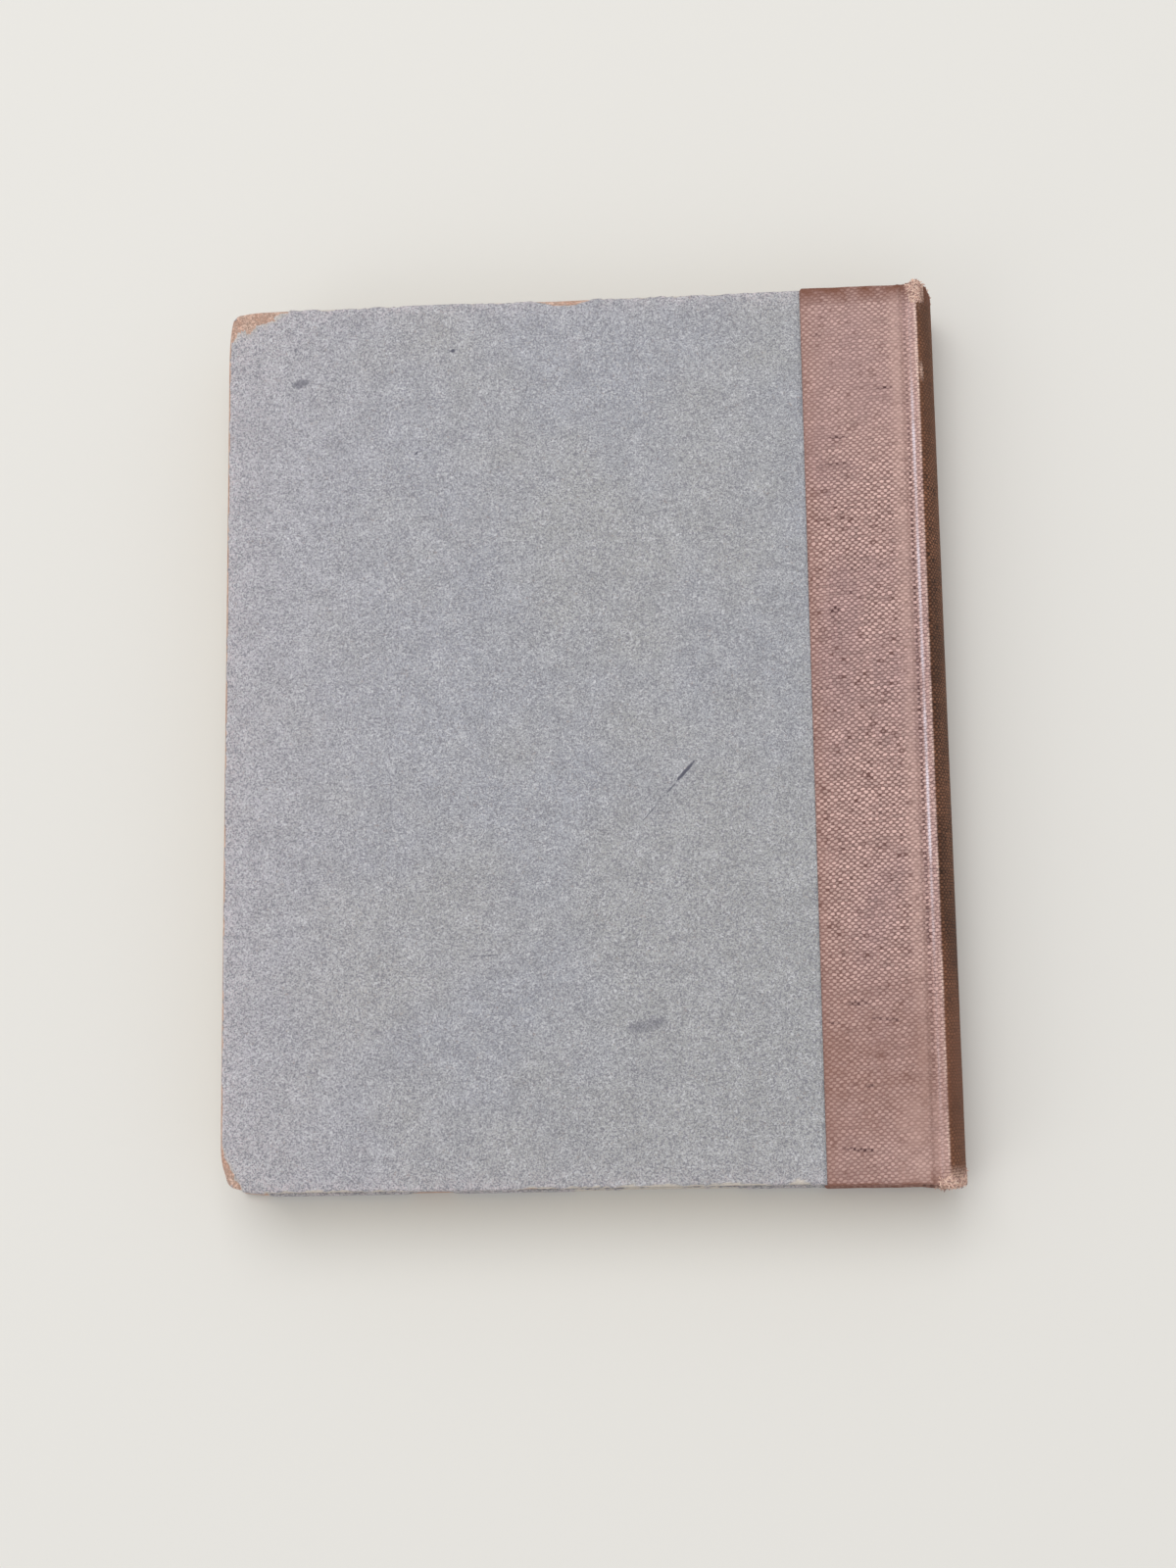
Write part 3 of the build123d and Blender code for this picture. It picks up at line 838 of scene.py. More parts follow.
def wear(x, y, worn):
    """How worn a cover is at x, y: above 0 where the paper is gone. Corners wear to a
    slanting line, 1 - across / width - down / depth; chips bite in from head or tail;
    the fore-edge and the other edges fray by a width that wanders."""
    ragged, fine = rough_noise(x, y, 2.4, 11, 5), rough_noise(x, y, 0.9, 23, 3)
    from_fore = x - PAPER_LEFT
    total = flakes(x, y, worn)
    for end, width, depth in worn["corners"]:
        share = 1 - from_fore / (width * MM) - (PAPER_HALF - end * y) / (depth * MM)
        total = np.maximum(total, share + 0.3 * ragged + 0.08 * fine)
    for end, *sizes in worn["chips"]:
        total = np.maximum(total, bite(x, y, end, sizes) / (1.2 * MM) + 0.3 * ragged + 0.25 * fine)
    hem = np.minimum(from_fore, PAPER_HALF - np.abs(y))
    fore = (worn["fore_rub"] * MM - from_fore) / (0.5 * MM) + 0.9 * rough_noise(x, y, 3.5, 31, 4) + 0.3 * fine
    edge = (worn["edge_rub"] * MM - hem) / (0.5 * MM) + 1.1 * rough_noise(x, y, 5, 41, 4)
    return np.maximum(total, np.maximum(fore, edge))


def from_corner(x, y, end):
    """Distance from a cover's outer corner at the head (end 1) or tail (-1)."""
    return np.hypot(x - PAPER_LEFT, PAPER_HALF - end * y)


def dent(x, y):
    """How far a cover's skin is pressed in at x, y: 0.25 mm at its corners, fading over
    5 mm, and a little unevenly everywhere."""
    depth = sum(0.25 * MM * peak(from_corner(x, y, end), 0, 5 * MM) for end in (1, -1))
    uneven = 0.03 * MM * rough_noise(x, y, 9, 53, 3) + 0.012 * MM * rough_noise(x, y, 1.5, 59, 2)
    return depth * (1 + 0.6 * rough_noise(x, y, 2, 61, 3)) + uneven


def crush(x, y, up, worn):
    """Shift of a cover's crushed corners: inward in plan, mostly away from the fore-edge,
    and thinner, by amount * exp(-(distance from the corner / 6 mm)^2)."""
    shift = np.zeros((3,) + x.shape)
    for end, amount in worn["crush"]:
        pull = amount * MM * peak(from_corner(x, y, end), 0, 6 * MM)
        shift += pull * np.array([0.8, -0.5 * end, 0])[:, None, None]
        shift[2] -= 0.2 * pull * up
    return shift


def cover_skin(worn, left, right, half, corner, profile, straight, fore):
    """Skin of a cover as rings x places: its points with crushed corners, its outward
    directions, how worn it is and how far it is pressed in."""
    inset, height, out, up = profile
    x, y, out_x, out_y = rim_plan(left, right, half, corner, inset, straight, fore)
    points = np.stack(np.broadcast_arrays(x, y, height[:, None]), -1)
    up = np.broadcast_to(up[:, None], x.shape)
    outward = np.stack([out[:, None] * out_x, out[:, None] * out_y, up], -1)
    gone, push = wear(x, y, worn), dent(x, y)
    return points + np.moveaxis(crush(x, y, up, worn), 0, -1), outward, gone, push


def side_paper(name, node, body, side, worn, material):
    """The paper on a cover: over the board, round three edges and 15 mm on inside. Where
    it has worn through it dives below the board's face, which leaves a torn edge."""
    close = np.arange(0.45, 6.0, 0.45) * MM + EDGE_RADIUS
    wide = np.array([6.4, 7.2, 8.2, 9.4, 11, 13, 16, 20, 27, 38, 55, 80]) * MM
    top = np.concatenate([close, wide, [PAPER_HALF]])[::-1]
    under = np.array([1.6, 3.2, 6.0, 10.0, 15.0]) * MM
    profile = rim_profile(PAPER_OUT, BOARD_IN - PAPER_THICK, EDGE_RADIUS + PAPER_THICK, top, under, 6)
    points, outward, gone, push = cover_skin(
        worn, PAPER_LEFT, PAPER_LINE, PAPER_HALF, CORNER_RADIUS, profile, 170, 210)
    x, y = points[..., 0], points[..., 1]
    frayed = 0.02 * MM * rough_noise(x, y, 0.8, 71, 2) * ease(gone, -0.6, 0)
    deep = push + ease(gone, -0.06, 0.1) * (PAPER_THICK + 0.25 * MM) - frayed
    from_fore, from_end = x - PAPER_LEFT, PAPER_HALF - np.abs(y)
    hem = np.minimum(np.minimum(from_fore, from_end), 30 * MM)
    by_corner = np.exp(-np.hypot(from_fore, from_end) / (16 * MM))
    in_flake = flakes(x, y, worn) > gone - 0.01
    values = {
        "Rub": np.clip(np.exp(-hem / (2.2 * MM)) + 0.55 * by_corner, 0, 1),
        "Rub wide": np.clip(0.8 * np.exp(-hem / (12 * MM)) + by_corner + 0.12, 0, 1),
        "Torn": peak(gone, -0.02, 0.075) * np.where(in_flake, 0.95, 0.5),
        "Handled": 0.75 * np.exp(-from_fore / (26 * MM)) + 0.15 * np.exp(-from_end / (9 * MM)),
    }
    points = points - outward * deep[..., None]
    piece = make_piece(name, points, grid_quads(*x.shape), material, side, values=values)
    mend(piece)
    thicken(piece, PAPER_THICK - 0.03 * MM)
    settle(piece, node, body)


def board(name, node, body, side, worn, material):
    """A strawboard: a slab with rounded edges, cut back under the cloth by its thickness,
    crushed at the corners like the paper over it."""
    reach = np.array([0.5, 1.2, 2.2, 3.4, 4.8, 6.4, 8.2, 11, 14, 20, 40, 80]) * MM + EDGE_RADIUS
    top, under = np.append(reach, BOARD_HALF)[::-1], np.append(reach[3::3], BOARD_HALF)
    profile = rim_profile(BOARD_OUT, BOARD_IN, EDGE_RADIUS, top, under, 5)
    points, outward, gone, push = cover_skin(
        worn, BOARD_LEFT, BOARD_EDGE, BOARD_HALF, CORNER_RADIUS - PAPER_THICK, profile, 110, 130)
    x, y = points[..., 0], points[..., 1]
    crumbled = push + 0.05 * MM * np.clip(gone, 0, 1) * (1 + rough_noise(x, y, 1.1, 83, 3))
    under_cloth = ease(x, CLOTH_LINE - 0.5 * MM, CLOTH_LINE + 0.5 * MM)
    points = points - outward * crumbled[..., None]
    points[..., 2] -= CLOTH_THICK * under_cloth * (outward[..., 2] > 0.5)
    points[..., 1] *= 1 - under_cloth * CLOTH_THICK / BOARD_HALF
    rings, places = x.shape
    first = np.arange(rings) * places
    spine_face = np.concatenate([first, first[::-1] + places - 1])
    piece = make_piece(name, points, list(grid_quads(rings, places)) + [spine_face], material, side)
    mend(piece)
    settle(piece, node, body)


# Case cloth


def fold_section(half, depth, turn_line, spread):
    """Section of the cloth across each place on the case, as (y, depth below its face):
    along its face from head to tail, round the fold, back inside to where the turned-in
    strip ends, and home along its hidden side. All are closed loops of the same number of
    points, one row for each depth. Returns too which points are on the outside."""
    depth = depth[:, None]
    radius = np.minimum(0.7 * MM, depth / 2)
    inner = np.maximum(radius - CLOTH_THICK, 0.03 * MM)
    quarter = np.linspace(0, math.pi / 2, 6)
    sine, cosine = np.sin(quarter), np.cos(quarter)
    wall, level = half - CLOTH_THICK, 0 * depth
    strip = level + turn_line + (half - radius[0] - turn_line) * np.linspace(1, 0, 5)[1:]
    outer_y = np.concatenate([half - radius + radius * sine, half - radius + radius * cosine], 1)
    outer_deep = np.concatenate([radius - radius * cosine, depth - radius + radius * sine], 1)
    inner_y = np.concatenate([wall - inner + inner * sine, wall - inner + inner * cosine], 1)[:, ::-1]
    inner_deep = np.concatenate([
        CLOTH_THICK + inner - inner * cosine, depth - TURNED_IN_THICK - inner + inner * sine], 1)[:, ::-1]
    end_y = np.concatenate([outer_y, strip, strip[:, ::-1], inner_y], 1)
    strip_deep = 0 * strip + depth
    end_deep = np.concatenate([outer_deep, strip_deep, strip_deep - TURNED_IN_THICK, inner_deep], 1)
    face = level + np.linspace(1, -1, spread)[1:-1] * (half - 1.2 * MM)
    y = np.concatenate([end_y[:, ::-1], face, -end_y, face[:, ::-1]], 1)
    deep = np.concatenate([end_deep[:, ::-1], 0 * face, end_deep, 0 * face + CLOTH_THICK], 1)
    bend, hidden, middle = outer_y.shape[1], end_y.shape[1] - outer_y.shape[1], face.shape[1]
    outside = np.repeat([False, True, False], [hidden, 2 * bend + middle, hidden + middle])
    return y, deep, outside


def end_cap(along, end):
    """How far the cloth stands out at its ends: a little over the boards, most at the
    ridge, less round the back; end is above 0 at the head."""
    at_ridge = 1 - ease(along, 12.5 * MM, 20 * MM)
    round_the_back = 0.2 + 0.8 * ease(along, 1.5 * MM, 10 * MM)
    return (0.9 + 0.8 * at_ridge) * round_the_back * np.where(end > 0, 1.0, 0.62) * MM


def cloth_wear(at_x, along, y, inset, side, ridge_at):
    """Where the cloth is rubbed, soiled, shiny and frayed, where painted sheen and highlights
    lie along the ridge, and where painted shade lies in the valley and on the spine's side:
    at_x is the place on the case, along the arc length from the crown, ridge_at that length
    at the ridge, and inset the distance from the head or tail before the cloth is pulled out there."""
    back = side > 0
    mirrored = side * along
    x_stops = [HINGE_X + 0.35 * MM, HINGE_X + 0.7 * MM, RIDGE_X - 0.5 * MM, RIDGE_X - 0.1 * MM]
    flank = np.interp(at_x, x_stops, [0, 1, 1, 0])
    middle_run = ease(y, -62 * MM, -38 * MM) * (1 - ease(y, 72 * MM, 92 * MM))
    # A painted highlight line along the ridge's flank, strongest in the middle run
    ridge_highlight = peak(at_x, HINGE_X + 1.15 * MM, 0.3 * MM) * (0.1 + 0.9 * middle_run)
    # Strength of the painted highlight on the ridge's crest
    crest_highlight_strength = 0.42 + 0.9 * rough_noise(y, along * 0, 6, 161, 4) + 0.45 * ease(y, 70 * MM, 100 * MM)

    from_ridge = along - ridge_at
    ragged_y = y + 0.8 * MM * rough_noise(mirrored, y, 3, 171, 3)
    ragged_x = from_ridge + 0.8 * MM * rough_noise(mirrored, y, 3, 173, 3)
    turned_in = ease(ragged_x, 0, 1.5 * MM) * (1 - ease(ragged_x, 11 * MM, 12 * MM))
    turned_in = turned_in * (1 - ease(ragged_y, -92 * MM, -90 * MM)) * back
    # Painted shade along the bottom of the joint's valley
    valley = peak(at_x, HINGE_X, 0.26 * MM) * (0.4 + 0.6 * middle_run) * (1 - 0.8 * turned_in)
    band = ease(at_x, BOARD_EDGE - 1.9 * MM, BOARD_EDGE - 0.9 * MM)
    band = band * (1 - ease(at_x, HINGE_X - 0.7 * MM, HINGE_X - 0.2 * MM))
    paper_line_at = along[0] - (PAPER_LINE - CLOTH_LINE)

    head_reach = 0.7 + 4.5 * peak(along, 12.6 * MM, 1.5 * MM)
    tail_reach = 2.0 + 1.8 * (1 - ease(along, 0, 9 * MM))
    reach = np.where(y > 0, head_reach, tail_reach) * MM
    from_end = inset + 0.9 * MM * rough_noise(mirrored, y, 3, 141, 4)
    frayed = (1 - ease(along, 12 * MM, 17 * MM)) * (1 - ease(from_end / reach, 0.45, 1.0))
    spot = ((from_ridge + 0.9 * MM) / (0.9 * MM)) ** 2 + ((y - 89 * MM) / (2.6 * MM)) ** 2
    spot = spot + 1.2 * rough_noise(mirrored, y, 1.2, 175, 3)
    stained = 0.42 * peak(y, -84 * MM, 22 * MM) * back
    head_soil = 1 - ease(inset, 0.6 * MM, 1.5 * MM)
    tail_soil = 0.6 * (1 - ease(inset, 0.2 * MM, 0.8 * MM))
    soil = stained + np.where(y > 0, head_soil, tail_soil) + 0.15 * (1 - ease(inset, 0, 7 * MM))
    return {
        # Ridge: rubbed cloth and a painted sheen along the ridge's flank
        "Ridge rub and sheen": np.clip(0.6 * flank * (0.75 + 0.5 * rough_noise(along, y, 16, 131, 3)), 0, 1),
        "Valley shade": valley,
        # Shade: the spine's side beyond the ridge, darker from its browner cloth and from painted shade
        "Shade": ease(at_x, RIDGE_X - 0.35 * MM, RIDGE_X + 0.15 * MM) + 0 * y,
        "Band": np.maximum(band, turned_in),
        "Frayed": np.maximum(frayed, 0.8 * (1 - ease(spot, 0.4, 1.3)) * back),
        "Ridge highlight": np.clip(ridge_highlight * (0.85 + 0.9 * rough_noise(y, along * 0, 9, 151, 4)), 0, 1),
        "Crest highlight": np.clip(peak(at_x, RIDGE_X - 0.3 * MM, 0.26 * MM) * crest_highlight_strength, 0, 1),
        "Seam": np.exp(-np.abs(along - paper_line_at) / (2.4 * MM)) + 0 * y,
        "Soil": np.clip(soil, 0, 1),
    }


def case_cloth(name, nodes, side, material):
    """Half of the case's cloth, from its edge on the board to the middle of the spine:
    at each place along the case's line, the closed section of the folded cloth."""
    line, from_crown, inward = case_line()
    extra = np.array([0.7, 0.45, 0.3, 0.15]) * MM
    board_end = int(np.argmin(np.abs(line[:, 0] - BOARD_EDGE) + 9 * (line[:, 1] < BOARD_OUT - 1e-9)))
    added = np.stack([BOARD_EDGE - extra, np.full(4, BOARD_OUT)], 1)
    line = np.insert(line, [board_end] * 4, added, axis=0)
    from_crown = np.insert(from_crown, [board_end] * 4, from_crown[board_end] + extra)
    inward = np.insert(inward, [board_end] * 4, inward[0], axis=0)
    at_x, along = line[:, :1], from_crown[:, None]
    joint_depth, hollow_depth = 0.8 * MM, 1.2 * MM
    on_board = 1 - ease(at_x, BOARD_EDGE - 0.35 * MM, BOARD_EDGE + 0.45 * MM)
    on_spine = ease(at_x, RIDGE_X - 1.4 * MM, RIDGE_X + 0.2 * MM)
    board_depth = BOARD_OUT - BOARD_IN + TURNED_IN_THICK
    depth = joint_depth + on_board * (board_depth - joint_depth) + on_spine * (hollow_depth - joint_depth)
    y, deep, outside = fold_section(CLOTH_HALF, depth[:, 0], TURN_LINE, 75)

    mirrored = side * along
    near_spine = 1 - ease(along, 12 * MM, 17 * MM)
    past_paper = ease(at_x, PAPER_LINE - 0.1 * MM, PAPER_LINE + 0.5 * MM)
    pull = 0.16 * MM * rough_noise(along, y * 0 + 3.0, 7, 97, 3) + past_paper * end_cap(along, y)
    pull = pull + 0.3 * MM * near_spine * rough_noise(mirrored, y * 0, 1.8, 99, 3)
    pull = pull * ease(np.abs(y), CLOTH_HALF - 4 * MM, CLOTH_HALF)
    worn_end = ease(12.5 * MM - along, -14 * MM, 6 * MM) * ease(np.abs(y), CLOTH_HALF - 3 * MM, CLOTH_HALF)
    uneven = 0.035 * MM * rough_noise(mirrored, y, 11, 101, 3)
    uneven = uneven + worn_end * 0.22 * MM * rough_noise(mirrored, y, 1.6, 103, 3)
    pulled_y = y + np.sign(y) * pull
    x, z = (line[:, i:i + 1] + inward[:, i:i + 1] * (deep + uneven) for i in (0, 1))

    rows, columns = y.shape
    first = np.arange(columns)
    faces = list(grid_quads(rows, columns, wrap=True)) + [first[::-1], first + (rows - 1) * columns]
    ridge_at = from_crown[int(np.argmin(np.abs(line[:, 0] - RIDGE_X)))]
    values = cloth_wear(at_x, along, pulled_y, CLOTH_HALF - np.abs(y), side, ridge_at)
    values["Soil"] = values["Soil"] * np.where(outside, 1, 0.3)
    uv = np.stack([mirrored + 0 * y, pulled_y + np.sign(pulled_y) * deep], -1)
    piece = make_piece(name, np.stack([x, pulled_y, z], -1), faces, material, side, uv=uv, values=values)
    settle(piece, nodes, None)
    bend_at_hinge(piece, side)


def frayed_threads(name, material):
    """Loose ends of cloth round the ends of the spine: each a tapering tube along a short
    curve, base + direction * s + bend * s squared. They lie thickest along the ridge at
    the head, and over the last few millimetres of the whole spine at the tail. None
    stands higher than the joint leaves room for when a cover is laid open."""
    rng = np.random.default_rng(5)
    line, from_crown, inward = case_line()
    count, steps, corners = 1900, 5, 5
    ridge_at = from_crown[int(np.argmax(line[:, 1] * (line[:, 0] > HINGE_X)))]
    head = rng.random(count) < 0.4
    gathered = rng.random(count) < np.where(head, 0.85, 0.3)
    by_ridge, anywhere = rng.normal(ridge_at, 0.9 * MM, count), rng.uniform(0, ridge_at + 3.5 * MM, count)
    spread = np.clip(np.where(gathered, by_ridge, anywhere), 0.2 * MM, ridge_at + 2.6 * MM)
    side = np.where(rng.random(count) < 0.7, 1, -1)
    end = np.where(head, 1, -1)
    tail_reach = 1.6 + 2.0 * (1 - ease(spread, 0, 9 * MM))
    reach = np.where(head, np.where(gathered, 5.5, 0.8), tail_reach) * MM
    set_in = reach * rng.random(count) ** 1.7
    on_face = set_in > 0.5 * MM
    order = np.argsort(from_crown)
    base_x, base_z = (np.interp(spread, from_crown[order], line[order, i]) for i in (0, 1))
    in_x, in_z = (np.interp(spread, from_crown[order], inward[order, i]) for i in (0, 1))
    sink = np.where(on_face, rng.uniform(-0.03, 0.03, count), rng.uniform(-0.05, 0.75, count)) * MM
    base_y = end * (CLOTH_HALF + end_cap(spread, end) - set_in)
    base = np.stack([base_x + in_x * sink, base_y, side * (base_z + in_z * sink)], 1)

    outward = np.stack([-in_x, 0 * in_x, -side * in_z], 1)
    sideways = np.stack([-side * in_z, 0 * in_x, in_x], 1)
    way = sideways * rng.normal(0, 0.8, (count, 1)) + outward * rng.uniform(-0.02, 0.15, (count, 1))
    way[:, 1] += end * rng.normal(-0.1, 0.7, count)
    way = way / np.linalg.norm(way, axis=1)[:, None]
    bend = rng.normal(0, 1.0, (count, 3))
    bend = 0.6 * (bend - outward * (np.sum(bend * outward, 1, keepdims=True) + 0.2))
    length = rng.uniform(0.3, 0.8, count) * np.where(on_face, 1.0, 0.65) * MM
    s = np.linspace(0, 1, steps)[:, None]
    path = base[:, None] + length[:, None, None] * (way[:, None] * s + bend[:, None] * s**2)

    first = np.cross(way, rng.normal(0, 1, (count, 3)))
    first = first / np.linalg.norm(first, axis=1)[:, None]
    second = np.cross(way, first)
    angle = np.linspace(0, 2 * math.pi, corners, endpoint=False)[:, None]
    ring = np.cos(angle) * first[:, None] + np.sin(angle) * second[:, None]
    thick = rng.uniform(0.1, 0.2, count)[:, None] * MM * (1 - 0.45 * s[:, 0] ** 2)
    points = path[:, :, None] + thick[:, :, None, None] * ring[:, None]
    highest = BOARD_OUT + LAID_OPEN_ROOM
    points[..., 2] = np.clip(points[..., 2], -highest, highest)
    tone = np.broadcast_to(rng.random(count)[:, None, None], points.shape[:3])

    starts = np.arange(count)[:, None] * steps * corners
    tube = grid_quads(steps, corners, wrap=True)[:, ::-1]
    faces = (tube[None] + starts[:, :, None]).reshape(-1, 4).tolist()
    faces += (starts + np.arange(corners)).tolist()
    faces += (starts + steps * corners - 1 - np.arange(corners)).tolist()
    piece = make_piece(name, points, faces, material, values={"Tone": tone})
    mend(piece, outward=True)
    settle(piece, None, "text_block")


# Pages and endpapers


def page_leaves(name, node, material):
    """The sewn leaves as one block. A point is (q, s, t): q runs along a leaf from the
    fore-edge, s from tail to head, t through the thickness. The fore-edge is hollowed
    by 1 - t squared, the back is round, and each leaf stands out or in a little at its
    three cut edges, with a groove between leaves and a wider one between sections."""
    count, section = 96, 8
    groove, section_groove, groove_depth = 0.22 / count, 2.2, 0.09 * MM
    edges = np.linspace(1, -1, count + 1)
    edges[1:-1] += np.random.default_rng(17).uniform(-0.2, 0.2, count - 1) / count
    gaps = np.ones(count + 1)
    gaps[::section] = section_groove
    starts = edges[:-1] - groove * gaps[:-1] * (np.arange(count) > 0)
    leaf_rows = np.stack([starts, edges[1:] + groove * gaps[1:], edges[1:]], 1)
    t = np.clip(np.append(1.0, leaf_rows), -1, 1)

    def leaf_offsets(amount, seed):
        draw = np.random.default_rng(seed)
        leaf = draw.normal(0, 1, count) + 1.1 * np.repeat(draw.normal(0, 1, count // section), section)
        leaf = np.clip(leaf, -2.2, 2.2) * amount
        rows = np.stack([leaf, leaf, leaf - groove_depth * gaps[1:]], 1)
        return np.append(leaf[0], rows)

    out_fore, out_head, out_tail = (
        leaf_offsets(amount * MM, seed) for amount, seed in ((0.055, 3), (0.04, 7), (0.04, 9)))
    shoulder = shoulder_line(0)
    tip_x, tip_rise = shoulder[-1, 0], shoulder[-1, 1] - FOLD_TOP
    reach, height = BLOCK_CROWN - tip_x, LEAF_TOP + tip_rise
    back_radius = (reach**2 + height**2) / (2 * reach)

    def place(q, s, row):
        level = t[row]
        outer = np.abs(level) ** 3
        at_back = level * (LEAF_TOP + tip_rise * outer)
        right = BLOCK_CROWN - back_radius + np.sqrt(back_radius**2 - at_back**2)
        left = PAGE_LEFT + FORE_HOLLOW * (1 - level**2) - out_fore[row]
        x = left + q * (right - left)
        rise = np.interp(x, shoulder[:, 0], shoulder[:, 1] - FOLD_TOP) * outer
        wave = 0.05 * MM * lattice_noise(q * 9 + s * 2.3, level * 5 + s, 19)
        half = PAGE_HALF + np.where(s > 0, out_head[row], out_tail[row]) + wave
        x = x - (1 - q) * 0.06 * MM * lattice_noise(s * 7, level * 6, 29)
        return np.stack(np.broadcast_arrays(x, s * half, level * (LEAF_TOP + rise)), -1)

    q = np.concatenate([np.linspace(0, 0.94, 24), np.linspace(0.948, 1, 12)])
    s = np.linspace(-1, 1, 34)
    inner_s, wide, half, fore_start = s[1:-1], 0.17, 0.108, 0.3
    ring_q = np.concatenate([q[::-1], 0 * inner_s, q, 0 * inner_s + 1])
    ring_s = np.concatenate([0 * q - 1, inner_s, 0 * q + 1, inner_s[::-1]])
    rows, places = len(t), len(ring_q)
    wall = place(ring_q[None], ring_s[None], np.arange(rows)[:, None])
    run = np.concatenate([q[::-1] * wide, -inner_s * half - fore_start, q * wide, inner_s * half])
    level = t * LEAF_TOP
    points, faces = [wall.reshape(-1, 3)], list(grid_quads(rows, places, wrap=True))
    uv = [np.stack(np.broadcast_arrays(run, level[:, None]), -1).reshape(-1, 2)]
    start = rows * places
    for row, flip in ((0, 1), (rows - 1, -1)):
        cap = place(q[None], s[:, None], row).reshape(-1, 3)
        points.append(cap)
        faces += list(grid_quads(len(s), len(q), start)[:, ::flip])
        uv.append(np.zeros((len(cap), 2)) + [0.0, level[row]])
        start += len(cap)
    points = np.concatenate(points)
    values = {
        "Outer": np.clip(np.abs(points[:, 2]) / LEAF_TOP, 0, 1),
        "Dust": ease(points[:, 1], PAGE_HALF - 1 * MM, PAGE_HALF - 0.3 * MM),
    }
    piece = make_piece(name, points, faces, material, uv=np.concatenate(uv), values=values, smooth=False)
    mend(piece)
    settle(piece, node, "text_block")


def edge_tone(points):
    """How toned an endpaper is: strongest at its three edges and by the fold."""
    x, y = points[..., 0], points[..., 1]
    hem = np.minimum(x - PAGE_LEFT, PAGE_HALF - np.abs(y))
    fold = np.abs(SHOULDER_X - x)
    return np.clip(np.exp(-hem / (5 * MM)) + 0.7 * np.exp(-fold / (7 * MM)), 0, 1)


def endpaper(name, x, y, height, side, material, faces, thickness):
    """A leaf of the endpapers from its heights at x and y."""
    points = np.stack(np.broadcast_arrays(x, y, height), -1)
    piece = make_piece(name, points, faces, material, side, values={"Rub": edge_tone(points)})
    thicken(piece, thickness)
    return piece


def flyleaf(name, node, side, material):
    """The free endpaper: flat on the pages with a slight cockle, then up the shoulder."""
    shoulder = shoulder_line(-LEAF_THICK)
    x = np.concatenate([np.linspace(PAGE_LEFT, BOARD_EDGE, 60)[:-1], shoulder[:, 0]])[None]
    z = np.concatenate([np.full(59, LEAF_TOP + LEAF_THICK), shoulder[:, 1]])[None]
    y = np.linspace(-PAGE_HALF, PAGE_HALF, 70)[:, None]
    cockle = 0.045 * MM * np.clip(rough_noise(x, y, 35, 107, 2), -1, 1)
    uneven = 0.12 * MM * rough_noise(x * 0.2, y, 30, 109, 2)
    at_x = x + uneven * (1 - ease(x, PAGE_LEFT, PAGE_LEFT + 4 * MM))
    height = z + cockle * (x < BOARD_EDGE)
    faces = grid_quads(y.size, x.size)
    piece = endpaper(name, at_x, y, height, side, material, faces, LEAF_THICK - 0.03 * MM)
    settle(piece, node, "text_block")


def pastedown(name, node, side, material):
    """The pasted endpaper: down on the board, stepping softly over the turned-in strips
    and the gauze, and across the joint to the fold on the shoulder."""
    shoulder = shoulder_line(0.02 * MM - LEAF_THICK)
    soft = 0.9 * MM
    fore_strip = BOARD_LEFT + TURN_IN
    step = np.linspace(-1.2, 1.2, 9) * MM
    x = np.concatenate([
        np.arange(PAGE_LEFT, fore_strip - 2 * MM, 2 * MM), fore_strip + step,
        np.linspace(fore_strip + 3 * MM, CLOTH_LINE - 3 * MM, 40),
        CLOTH_LINE + np.linspace(-1.2, 1.2, 7) * MM, MULL_LINE + np.linspace(-0.6, 1.2, 7) * MM,
        np.linspace(MULL_LINE + 3 * MM, BOARD_EDGE, 14)[:-1], shoulder[:, 0]])[None]
    seam = TURN_LINE + step
    y = np.concatenate([
        np.linspace(0, MULL_HALF - 3 * MM, 34), seam, np.linspace(seam[-1] + 2 * MM, PAGE_HALF, 6)])
    y = np.concatenate([-y[:0:-1], y])[:, None]
    from_middle = np.abs(y)
    wobble = 0.35 * MM * rough_noise(x, y, 9, 113, 3)
    on_end_strip = ease(from_middle + wobble, TURN_LINE - soft, TURN_LINE + soft)
    on_fore_strip = 1 - ease(x + wobble, fore_strip - soft, fore_strip + soft)
    on_gauze = ease(x + wobble, MULL_LINE - soft, MULL_LINE + soft)
    on_gauze = on_gauze * (1 - 0.5 * ease(from_middle, MULL_HALF - soft, MULL_HALF))
    raised = np.maximum(np.maximum(on_end_strip, on_fore_strip), on_gauze)
    on_bare_board = BOARD_IN - LEAF_THICK
    height = on_bare_board - (on_bare_board - PASTEDOWN_IN) * raised
    height = height + 0.03 * MM * rough_noise(x, y, 4, 127, 3)
    joint = ease(x, BOARD_EDGE - 3 * MM, BOARD_EDGE - 0.2 * MM)
    before = np.full(x.size - len(shoulder), shoulder[0, 1])
    height = height * (1 - joint) + np.concatenate([before, shoulder[:, 1]])[None] * joint
    faces = grid_quads(y.size, x.size)[:, ::-1]
    piece = endpaper(name, x, y, height, side, material, faces, LEAF_THICK - 0.04 * MM)
    apply_modifiers(piece)
    settle(piece, node, None)
    bend_at_hinge(piece, side)


